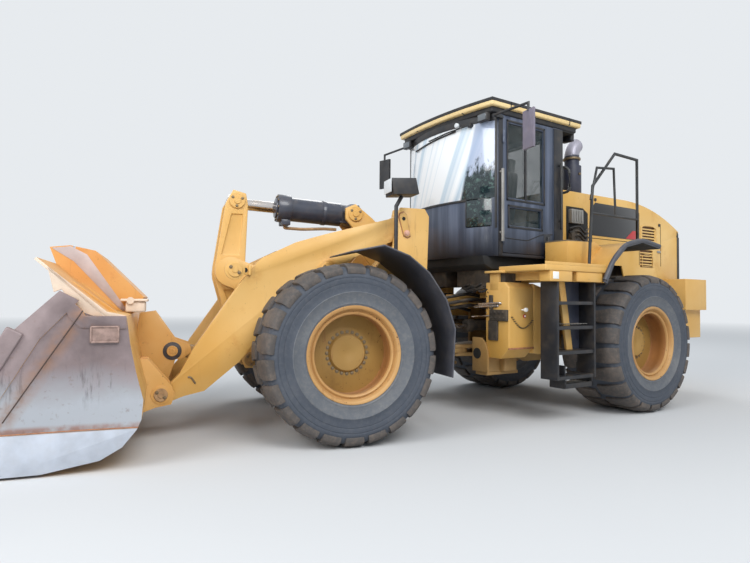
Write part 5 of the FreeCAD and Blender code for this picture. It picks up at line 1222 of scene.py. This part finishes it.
hoodTrim = {"side": 0.6215, "seam": 0.004, "decal": 0.0035, "button": 0.022, "latchHalf": 0.045,
            "archRise": 0.05,
            "archSteps": 12, "seams": ((-1.79, 1.82, 2.60), (-2.86, 1.82, 2.56), (-3.40, 1.82, 2.44)),
            "vents": (((-3.29, -2.90), (2.10, 2.40)), ((-3.20, -2.92), (1.80, 1.98))),
            "latches": (-2.05, -2.62, -3.34), "buttons": ((-1.86, 2.64), (-3.36, 2.42))}


def hoodFace(place, normal):
    # upward faces take the paler paint, a painted highlight on the hood's top
    return hoodTopHighlight if normal.z > 0.55 else None


def ventRim(x, z):
    # the outline of a vent with a rounded top, and the opening inside it
    middle, half, centre = (x[0] + x[1]) / 2, (x[1] - x[0]) / 2, (z[0] + z[1]) / 2
    rise, steps = hoodTrim["archRise"], hoodTrim["archSteps"]
    arch = [(x[0], z[0]), (x[1], z[0])]
    for k in range(steps + 1):
        turn = math.pi * k / steps
        arch.append((middle + half * math.cos(turn), z[1] - rise + rise * math.sin(turn)))
    inner = [(middle + (u - middle) * 0.94, centre + (v - centre) * 0.92) for u, v in arch]
    return arch, inner


def makeHood():
    repaint(softened("hood", hoodPaint, 0.014, 3), hoodFace, "rear")
    side, decalThick = hoodTrim["side"], hoodTrim["decal"]
    decal = [(-2.79, 2.165), (-2.79, 2.575), (-2.76, 2.60), (-1.86, 2.60), (-1.795, 2.54), (-1.795, 2.165)]
    paired(sidePlate("hood_decal", side, decal, decalThick), "hood", decalBlack, "rear")
    wedge = [(-2.785, 2.17), (-2.785, 2.29), (-2.70, 2.29), (-2.53, 2.17)]
    paired(sidePlate("decal_wedge", side + decalThick, wedge, 0.0015, 0.0003), "hood", redPaint, "rear")
    for number, (x, z) in enumerate(hoodTrim["vents"]):
        arch, inner = ventRim(x, z)
        piece = sidePlate(f"vent_rim_{number}", side, arch, 0.006, 0.002, (inner,))
        paired(piece, "hood", hoodPaint, "rear")
    backing = [box("backing", (-3.32, -2.86), (0.588, 0.596), (1.78, 2.42), 0.002)]
    paired(joined("vent_backing", backing), "hood", ventBrown, "rear")
    seams = []
    sunk = (side - hoodTrim["seam"], side + 0.001)
    for x, low, high in hoodTrim["seams"]:
        seams.append(box("seam", about(x, hoodTrim["seam"]), sunk, (low, high), 0.001))
    seams.append(box("seam", (-3.40, -1.79), sunk, (2.125, 2.133), 0.001))
    paired(joined("hood_seams", seams), "hood", darkInside, "rear")
    band = [(-3.878, 1.40), (-3.878, 2.325), (-3.838, 2.36), (-3.838, 1.40)]
    paired(sidePlate("hood_band", side, band, 0.003), "hood", blackSatin, "rear")
    latches = []
    for x in hoodTrim["latches"]:
        latches.append(box("latch", about(x, hoodTrim["latchHalf"]), (side, side + 0.014), (2.015, 2.045),
                           0.005))
    paired(joined("hood_latches", latches), "hood", railPale, "rear")
    buttons = []
    for x, z in hoodTrim["buttons"]:
        buttons.append(bar("pad", (x, side, z), (x, side + 0.010, z), hoodTrim["button"], 16, 0.003))
    paired(joined("hood_buttons", buttons), "hood", plastic, "rear")
    print("hood done")


exhaust = {"x": -1.62, "y": 0.44, "shield": 0.108, "from": 2.705, "to": 3.06, "band": 0.113,
           "bands": (2.74, 2.95, 3.16), "bandHigh": 0.028, "darkTo": 3.19}


def exhaustFace(place, normal):
    return exhaustDark if place.z < exhaust["darkTo"] else None


def makeExhaust():
    repaint(softened("exhaust_stack", exhaustSteel, 0.002), exhaustFace, "rear")
    x, y = exhaust["x"], exhaust["y"]
    shield = bar("shield", (x, y, exhaust["from"]), (x, y, exhaust["to"]), exhaust["shield"], 40, 0.006)
    finished(shield, "rear_half", exhaustDark, "rear")
    bands = []
    for z in exhaust["bands"]:
        bands.append(bar("band", (x, y, z), (x, y, z + exhaust["bandHigh"]), exhaust["band"], 40, 0.004))
    bands.append(box("clip", about(x, 0.02), (y + 0.10, y + 0.135), (2.95, 2.978), 0.004))
    onRear(bands, "exhaust_bands", boltSteel, False)
    print("exhaust done")


# Rear frame's sides: deck edges, boxes, panels, ladder, fender panel and lip

deck = {"top": 1.670, "start": (-0.84, 0.90), "pitch": (0.125, 0.115), "count": (8, 5), "stud": (0.020, 0.014)}


def deckFace(place, normal):
    return deckSteel if normal.z > 0.9 else None


def makeDecks():
    repaint(softened("platforms", yellowPaint, 0.006), deckFace, "rear")
    studs = []
    for row in range(deck["count"][1]):
        for column in range(deck["count"][0]):
            x, y = deck["start"][0] + deck["pitch"][0] * column, deck["start"][1] + deck["pitch"][1] * row
            studs.append(bar("stud", (x, y, deck["top"]), (x, y, deck["top"] + 0.006), deck["stud"][0], 8, 0,
                             deck["stud"][1]))
    onRear(studs, "deck_tread", deckSteel)
    onRear([box("kick", (-0.885, 0.105), (1.436, 1.449), (1.668, 1.70), 0.004)], "deck_kick", yellowPaint)
    onRear([box("foot", about(-0.84, 0.04), (1.21, 1.29), (1.670, 1.680), 0.004)], "rail_feet", railBlack)
    print("decks done")


chain = {"start": (0.06, 0.958, 1.12), "end": (-0.26, 0.958, 1.08), "links": 16, "hang": 0.10, "half": 0.013,
         "radius": 0.006}


def makeSideBoxes():
    softened("side_tanks", yellowPaint, 0.014, 3)
    onRear([box("lip", (-0.288, 0.098), (0.935, 0.957), (0.770, 0.790), 0.004)], "tank_lip", rustSeamAndShade)
    knob = [bar("stem", (-0.10, 0.94, 1.20), (-0.10, 1.00, 1.20), 0.008, 12),
            bar("ball", (-0.10, 0.99, 1.20), (-0.10, 1.025, 1.20), 0.024, 20, 0.010)]
    onRear(knob, "tank_knob", whitePaint, False)
    links, half = [], Vector((chain["half"], 0, 0))
    for k in range(chain["links"]):
        part = k / (chain["links"] - 1)
        hang = Vector((0, 0, -chain["hang"] * math.sin(math.pi * part)))
        spot = Vector(chain["start"]).lerp(Vector(chain["end"]), part) + hang
        links.append(bar("link", spot - half, spot + half, chain["radius"], 8))
    onRear(links, "tank_chain", boltSteel, False)
    tag = bar("tag", (-0.14, 0.951, 1.13), (-0.14, 0.959, 1.13), 0.022, 24, 0.002)
    onRear([tag], "tank_tag", redPaint, False)
    tag = bar("tag", (-0.14, 0.958, 1.13), (-0.14, 0.962, 1.13), 0.012, 24, 0.001)
    onRear([tag], "tank_tag_centre", whitePaint, False)
    boxes = [box("locker", (-0.32, 0.03), (1.30, 1.444), (1.50, 1.612), 0.010),
             box("locker", (-0.84, -0.40), (1.30, 1.438), (1.505, 1.612), 0.010)]
    onRear(boxes, "side_lockers", yellowPaint)
    label = box("label", (-0.10, -0.01), (1.4435, 1.4465), (1.525, 1.598), 0.001)
    onRear([label], "locker_label", whitePaint, False)
    wing = [(-0.288, 1.49), (-0.47, 1.44), (-0.52, 1.10), (-0.50, 0.80), (-0.40, 0.70), (-0.288, 0.72)]
    onRear([plate("wing", "xz", (0.80, 0.952), wing, 0.014)], "tank_wings", yellowPaint)
    print("side boxes done")


ladder = {"steps": (0.415, 0.74, 1.05), "teeth": 9, "start": -0.745, "pitch": 0.05, "tooth": 0.015}


def makeRearPanels():
    panels = [sidePlate("panel", 1.195, outline, 0.02, 0.004) for outline in (
        [(-0.14, 0.76), (-0.14, 1.52), (-0.33, 1.52), (-0.39, 0.76)],
        [(-0.47, 1.52), (-0.75, 1.52), (-0.75, 0.76), (-0.62, 0.76)])]
    onRear(panels, "step_panels", panelBlue)
    slant = [(-0.335, 1.51), (-0.435, 1.51), (-0.575, 0.72), (-0.475, 0.72)]
    onRear([sidePlate("slant", 1.225, slant, 0.03, 0.006)], "slanted_bars", yellowPaint)
    softened("ladders", blackSatin, 0.004)
    treads = []
    for z in ladder["steps"]:
        for k in range(ladder["teeth"]):
            x = ladder["start"] + ladder["pitch"] * k
            treads.append(box("tooth", (x, x + ladder["tooth"]), (1.15, 1.345), (z, z + 0.008), 0.002, 1))
    onRear(treads, "ladder_teeth", railPale)
    step = [box("side", x, (1.16, 1.36), (0.375, 0.62), 0.005) for x in ((-0.765, -0.745), (-0.315, -0.295))]
    step.append(box("front", (-0.765, -0.295), (1.34, 1.36), (0.375, 0.43), 0.006))
    onRear(step, "bottom_steps", blackSatin)
    print("rear panels done")


def fenderFace(place, normal):
    # the rubber lip, and the underside in near-black painted shade
    if abs(place.y) > 1.452:
        return fenderRubber
    return darkInside if normal.z < -0.25 else None


def makeFenders():
    repaint(softened("rear_fenders", yellowPaint, 0.006), fenderFace, "rear")
    panel = [(-0.63, 1.68), (-0.63, 1.975), (-1.13, 1.99), (-1.26, 1.93), (-1.02, 1.735), (-0.955, 1.68)]
    riser = [sidePlate("riser", 1.13, panel, 0.012, 0.004),
             box("riser", (-0.64, -0.625), (0.83, 1.142), (1.68, 1.975), 0.004)]
    onRear(riser, "fender_risers", yellowPaint)
    onRear([box("step", (-1.15, -0.63), (0.83, 1.14), (1.975, 1.99), 0.004)], "fender_steps", deckSteel)
    lip = flatPath(1.467, [(-0.835, 1.53), (-0.975, 1.75), (-1.215, 1.945), (-1.54, 2.016), (-1.90, 1.962)])
    onRear([tube("lip", lip, 0.026, 0.12, 12)], "fender_lips", fenderRubber)
    print("rear fenders done")


# Rear end: counterweight, grille, lamps

lamps = {"z": (1.42, 1.56), "slant": 12.1, "x": -4.225, "y": 0.5, "lean": 0.06 / 0.28}


def rearLamps(y, half):
    # lamps seated on the counterweight's slanted rear faces
    pair = []
    for sign in (-1, 1):
        lamp = box("lamp", (-0.010, 0.004), (-half, half), lamps["z"], 0.004)
        place = Matrix.Translation((lamps["x"] + lamps["lean"] * (y - lamps["y"]), sign * y, 0))
        lamp.data.transform(place @ Matrix.Rotation(-sign * math.radians(lamps["slant"]), 4, "Z"))
        pair.append(lamp)
    return pair


def makeRearEnd():
    softened("counterweight", yellowPaint, 0.016, 3)
    onRear(rearLamps(0.66, 0.07), "rear_lamps", redGlass, False)
    onRear(rearLamps(0.545, 0.035), "rear_indicators", amberGlass, False)
    softened("rear_grille", blackSatin, 0.004)
    print("rear end done")


# Hitch: valve block and the hoses across the joint

hoses = {"spots": ((0.24, 1.20), (0.30, 1.27), (0.20, 1.33), (-0.24, 1.20), (-0.30, 1.27), (-0.20, 1.33)),
         "radius": 0.019, "bend": 0.12}


def makeHitch():
    valve = [box("valve", (0.40, 0.62), (-0.22, 0.22), (1.16, 1.34), 0.012)]
    for k in range(4):
        valve.append(bar("port", (0.46 + 0.05 * k, 0.22, 1.25), (0.46 + 0.05 * k, 0.26, 1.25), 0.022, 6,
                         0.003))
    finished(joined("valve_block", valve), "front_half", machinery, "front")
    for y, z in hoses["spots"]:
        # each hose is long enough to give when the machine steers
        path = [(-0.42, y * 0.9, z - 0.03), (-0.20, y, z + 0.02), (0.0, y * 1.05, z + 0.05),
                (0.20, y, z + 0.02),
                (0.44, y * 0.9, z - 0.02)]
        hose = tube("hose", path, hoses["radius"], hoses["bend"], 12, 8)
        placeHose(hose)
        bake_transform(hose)
    print("hitch done")


def placeHose(piece):
    # a hose stands in the rear half's frame
    piece.matrix_world = halves["rear"]
    applyPlace(piece)
    painted(piece, hoseRubber, 40)


# Behind the cab: machinery seen through the open side, and the clutter of the hitch

def makeMachinery():
    side = 0.622
    # a near-black plate over the opening: painted shade inside the engine bay
    opening = [(-1.27, 1.98), (-1.70, 1.98), (-1.70, 2.44), (-1.60, 2.50), (-1.27, 2.50)]
    onRear([sidePlate("opening", side, opening, 0.004, 0.001)], "engine_opening", darkInside)
    pieces = [box("case", (-1.53, -1.30), (side, side + 0.07), (2.28, 2.46), 0.012, 3)]
    for x in (-1.50, -1.45, -1.40, -1.35):
        pieces.append(box("fin", (x, x + 0.025), (side + 0.068, side + 0.078), (2.30, 2.44), 0.003))
    onRear(pieces, "slotted_case", railPale)
    profile = [(0, 0), (0.10, 0), (0.115, 0.02), (0.115, 0.07), (0.09, 0.085), (0.05, 0.085), (0.04, 0.10),
               (0, 0.10)]
    drum = lathe("drum", profile, 36)
    drum.data.transform(Matrix.Translation((-1.40, side, 2.11)))
    onRear([drum], "filter_drum", machinery)
    lines = []
    for z in (2.05, 2.105, 2.16, 2.215):
        path = [(-1.29, side + 0.04, z), (-1.38, side + 0.11, z + 0.03), (-1.52, side + 0.09, z - 0.05),
                (-1.66, side + 0.03, z + 0.02)]
        lines.append(tube("hose", path, 0.014, 0.06, 10))
    onRear(lines, "engine_hoses", hoseRubber)
    print("machinery done")


def makeHitchClutter():
    # yellow plates, a black manifold and bundles of hoses beside the hitch, all on the rear half
    edge = [(0.655, 0.50), (0.655, 0.72), (0.62, 0.82), (0.55, 0.88), (0.41, 0.88), (0.41, 0.50)]
    plates = [plate("plate", "yz", (0.100, 0.122), edge, 0.004),
              box("lug", (-0.30, -0.10), (0.60, 0.70), (0.50, 0.66), 0.02, 3),
              box("stay", (-0.40, 0.10), (0.44, 0.62), (0.46, 0.50), 0.008),
              box("web", (-0.30, 0.102), (0.60, 0.62), (0.50, 0.80), 0.004)]
    onRear(plates, "hitch_plates", framePaint)
    # a near-black disc standing for the hole in the hitch plate: painted shade
    hole = plate("hole", "yz", (0.1215, 0.1235), disc((0.488, 0.70), 0.062, 28), 0.0005)
    onRear([hole], "hitch_holes", darkInside)
    front = [box("valve", x, y, z, 0.010, 3) for x, y, z in (
        ((0.098, 0.130), (0.68, 0.945), (1.075, 1.20)), ((0.098, 0.126), (0.66, 0.80), (0.86, 1.08)),
        ((0.098, 0.122), (0.665, 0.72), (1.20, 1.36)))]
    for k in range(4):
        front.append(bar("port", (0.128, 0.71 + 0.06 * k, 1.165), (0.140, 0.71 + 0.06 * k, 1.165), 0.016, 6,
                         0.002))
        front.append(bar("port", (0.128, 0.72 + 0.06 * k, 1.11), (0.138, 0.72 + 0.06 * k, 1.11), 0.012, 14,
                         0.002))
    onRear(front, "front_valves", machinery)
    skirt = [box("skirt", (-0.20, 0.085), (0.10, 0.64), (1.46, 1.66), 0.012, 3),
             box("skirt", (-0.20, 0.070), (0.64, 0.86), (1.50, 1.60), 0.010, 3)]
    onRear(skirt, "cab_skirts", machinery)
    tangle = []
    for k in range(8):
        low, y = 1.46 - 0.018 * (k % 4), 0.14 + 0.045 * k
        path = [(0.02, y, 1.52), (0.095, y + 0.02, low), (0.100, y + 0.10, low - 0.012 * (k % 3)),
                (0.085, y + 0.20, low + 0.03), (0.00, y + 0.24, 1.50)]
        tangle.append(tube("hose", path, 0.011 + 0.003 * (k % 3), 0.05, 10))
    onRear(tangle, "skirt_hoses", hoseRubber)
    block = [box("manifold", (-0.24, 0.06), (0.56, 0.70), (0.86, 1.10), 0.02, 3)]
    for k in range(5):
        block.append(bar("port", (0.02 - 0.055 * k, 0.70, 1.04), (0.02 - 0.055 * k, 0.735, 1.04), 0.020, 6,
                         0.003))
        block.append(bar("port", (0.02 - 0.055 * k, 0.70, 0.93), (0.02 - 0.055 * k, 0.725, 0.93), 0.016, 14,
                         0.003))
    onRear(block, "manifolds", machinery)
    lines = []
    for k in range(7):
        z, y = 1.16 + 0.045 * k, 0.60 + 0.015 * (k % 3)
        path = [(0.10, y, z), (0.02 - 0.03 * k, y + 0.05, z + 0.03), (-0.20, y + 0.02, z - 0.06 + 0.02 * k),
                (-0.34, y - 0.05, z)]
        lines.append(tube("line", path, 0.012 + 0.003 * (k % 2), 0.06, 10))
    onRear(lines, "hitch_lines", hoseRubber)
    pipes = [tube("pipe", path, radius, bend, sides) for radius, bend, sides, path in (
        (0.016, 0.04, 12, [(0.112, 0.50, 1.255), (0.112, 0.66, 1.262), (0.112, 0.80, 1.268),
                           (0.095, 0.84, 1.27)]),
        (0.012, 0.04, 12, [(0.112, 0.43, 1.225), (0.112, 0.60, 1.232), (0.112, 0.76, 1.236),
                           (0.095, 0.80, 1.24)]),
        (0.009, 0.05, 10, [(0.112, 0.40, 1.115), (0.114, 0.56, 1.125), (0.110, 0.69, 1.13)]),
        (0.022, 0.04, 12, [(0.08, 0.64, 1.22), (-0.10, 0.67, 1.235), (-0.26, 0.62, 1.23)]))]
    onRear(pipes, "hitch_pipes", chromeRod)
    post = [box("post", (-0.02, 0.10), (0.66, 0.80), (1.40, 1.60), 0.01),
            box("shelf", (-0.10, 0.16), (0.64, 0.90), (1.60, 1.625), 0.006)]
    onRear(post, "cab_posts", yellowPaint)
    print("hitch clutter done")


# Front half: fenders, work lamps and their lenses

def makeFrontTrim():
    softened("front_fenders", fenderRubber, 0.006)
    softened("work_lamps", blackSatin, 0.010, 3)
    lens = [box("lens", (1.2605, 1.2665), (0.80, 1.00), (2.365, 2.50), 0.006)]
    paired(joined("work_lenses", lens), "front_half", lampGlass)
    print("front trim done")


makeHood()
makeExhaust()
makeDecks()
makeSideBoxes()
makeRearPanels()
makeFenders()
makeRearEnd()
makeMachinery()
makeHitch()
makeHitchClutter()
makeFrontTrim()


# CAD pieces that keep their shape and get rounded edges

def softenAll():
    for node, material, width in (
            ("front_frame", framePaint, 0.005), ("rear_frame", framePaint, 0.005),
            ("front_axle", framePaint, 0.008), ("rear_axle", framePaint, 0.008),
            ("front_hood", hoodPaint, 0.008), ("handrails", railBlack, 0),
            ("engine_block", machinery, 0.01), ("radiator", machinery, 0.004),
            ("transmission", machinery, 0.01), ("tie_down_eyes", framePaint, 0.004),
            ("lift_barrel", framePaint, 0.003), ("lift_rod", chromeRod, 0.002),
            ("tilt_barrel", cylinderPaint, 0.003), ("tilt_rod", chromeRod, 0.002),
            ("steer_barrel_left", machinery, 0.002), ("steer_barrel_right", machinery, 0.002),
            ("steer_rod_left", chromeRod, 0.002), ("steer_rod_right", chromeRod, 0.002)):
        softened(node, material, width)
    print("CAD pieces softened")


softenAll()


# Stage, light and camera

backTone = (0.80, 0.83, 0.86)
floor = {"size": 240, "tone": (0.60, 0.61, 0.62), "fadeFrom": 9.0, "fadeTo": 40.0}
ambientLight = {"tone": (0.86, 0.93, 1.0, 1), "strength": 0.62}
lights = {
    "key": {"place": (3.0, 14.0, 13.0), "target": (0.5, 0, 1.2), "size": 9.0, "power": 2050},
    "front": {"place": (13.0, 4.0, 8.0), "target": (1.5, 0, 1.2), "size": 8.0, "power": 1100},
    "back": {"place": (-9.0, -10.0, 10.0), "target": (0, 0, 1.5), "size": 9.0, "power": 900},
}


def makeStage():
    bpy.ops.mesh.primitive_plane_add(size=floor["size"], location=(0, 0, 0))
    ground = bpy.context.view_layer.objects.active
    ground.name = "ground"
    # pale round the machine, and fading into the tone behind it where nothing shows the seam
    finish = Finish("groundTone", floor["tone"], 0.95)
    across, along = finish.axis("X"), finish.axis("Y")
    fade = (across * across + along * along).power(0.5).between(floor["fadeFrom"], floor["fadeTo"])
    finish.set(baseColor=finish.mix(fade, floor["tone"], (0.0, 0.0, 0.0)), specular=0.0,
               emission=finish.mix(fade, (0.0, 0.0, 0.0), backTone), emissionStrength=1.0)
    ground.data.materials.append(finish.material)
    makeWorld()
    for name, light in lights.items():
        bpy.ops.object.light_add(type="AREA", location=light["place"])
        lamp = bpy.context.view_layer.objects.active
        lamp.name = name
        lamp.data.size = light["size"]
        lamp.data.energy = light["power"]
        aim = Vector(light["target"]) - Vector(light["place"])
        lamp.rotation_mode = "QUATERNION"
        lamp.rotation_quaternion = aim.to_track_quat("-Z", "Y")


def makeWorld():
    # a soft bluish light all round, with the plain tone wherever it is seen, mirrored or looked through at
    world = bpy.data.worlds.new("studio")
    bpy.context.scene.world = world
    world.use_nodes = True
    tree = world.node_tree
    tree.nodes.clear()
    out = tree.nodes.new("ShaderNodeOutputWorld")
    ambient = tree.nodes.new("ShaderNodeBackground")
    ambient.inputs[0].default_value = ambientLight["tone"]
    ambient.inputs[1].default_value = ambientLight["strength"]
    seen = tree.nodes.new("ShaderNodeBackground")
    seen.inputs[0].default_value = (*backTone, 1)
    seen.inputs[1].default_value = 1.0
    path = tree.nodes.new("ShaderNodeLightPath")
    direct = Value(tree, path.outputs["Is Camera Ray"])
    for ray in ("Is Glossy Ray", "Is Transmission Ray"):
        direct = direct.maths("MAXIMUM", Value(tree, path.outputs[ray]))
    mixer = tree.nodes.new("ShaderNodeMixShader")
    feed(tree, mixer.inputs[0], direct)
    tree.links.new(ambient.outputs[0], mixer.inputs[1])
    tree.links.new(seen.outputs[0], mixer.inputs[2])
    tree.links.new(mixer.outputs[0], out.inputs[0])


# Fitted to the photograph: place, heading, pitch and roll in the row frame
view = {"place": (4.2155, 5.8469, 1.285), "heading": (-0.5521, -0.8338), "pitch": 1.93, "roll": 0.0083,
        "lens": 27.44, "sensor": 36.0, "far": 400}


def makeCamera():
    heading, pitch, roll = view["heading"], math.radians(view["pitch"]), view["roll"]
    forward = Vector((heading[0] * math.cos(pitch), heading[1] * math.cos(pitch),
                      math.sin(pitch))).normalized()
    right = forward.cross(Vector((0, 0, 1))).normalized()
    up = right.cross(forward)
    turnedRight = right * math.cos(roll) + up * math.sin(roll)
    turnedUp = up * math.cos(roll) - right * math.sin(roll)
    bpy.ops.object.camera_add(location=view["place"])
    camera = bpy.context.view_layer.objects.active
    camera.data.lens = view["lens"]
    camera.data.sensor_width = view["sensor"]
    camera.data.clip_end = view["far"]
    basis = Matrix((turnedRight, turnedUp, -forward)).transposed()
    camera.rotation_mode = "QUATERNION"
    camera.rotation_quaternion = basis.to_quaternion()
    bpy.context.scene.camera = camera


makeStage()
makeCamera()
bpy.context.scene.view_settings.view_transform = "Standard"
print("stage, light and camera done")
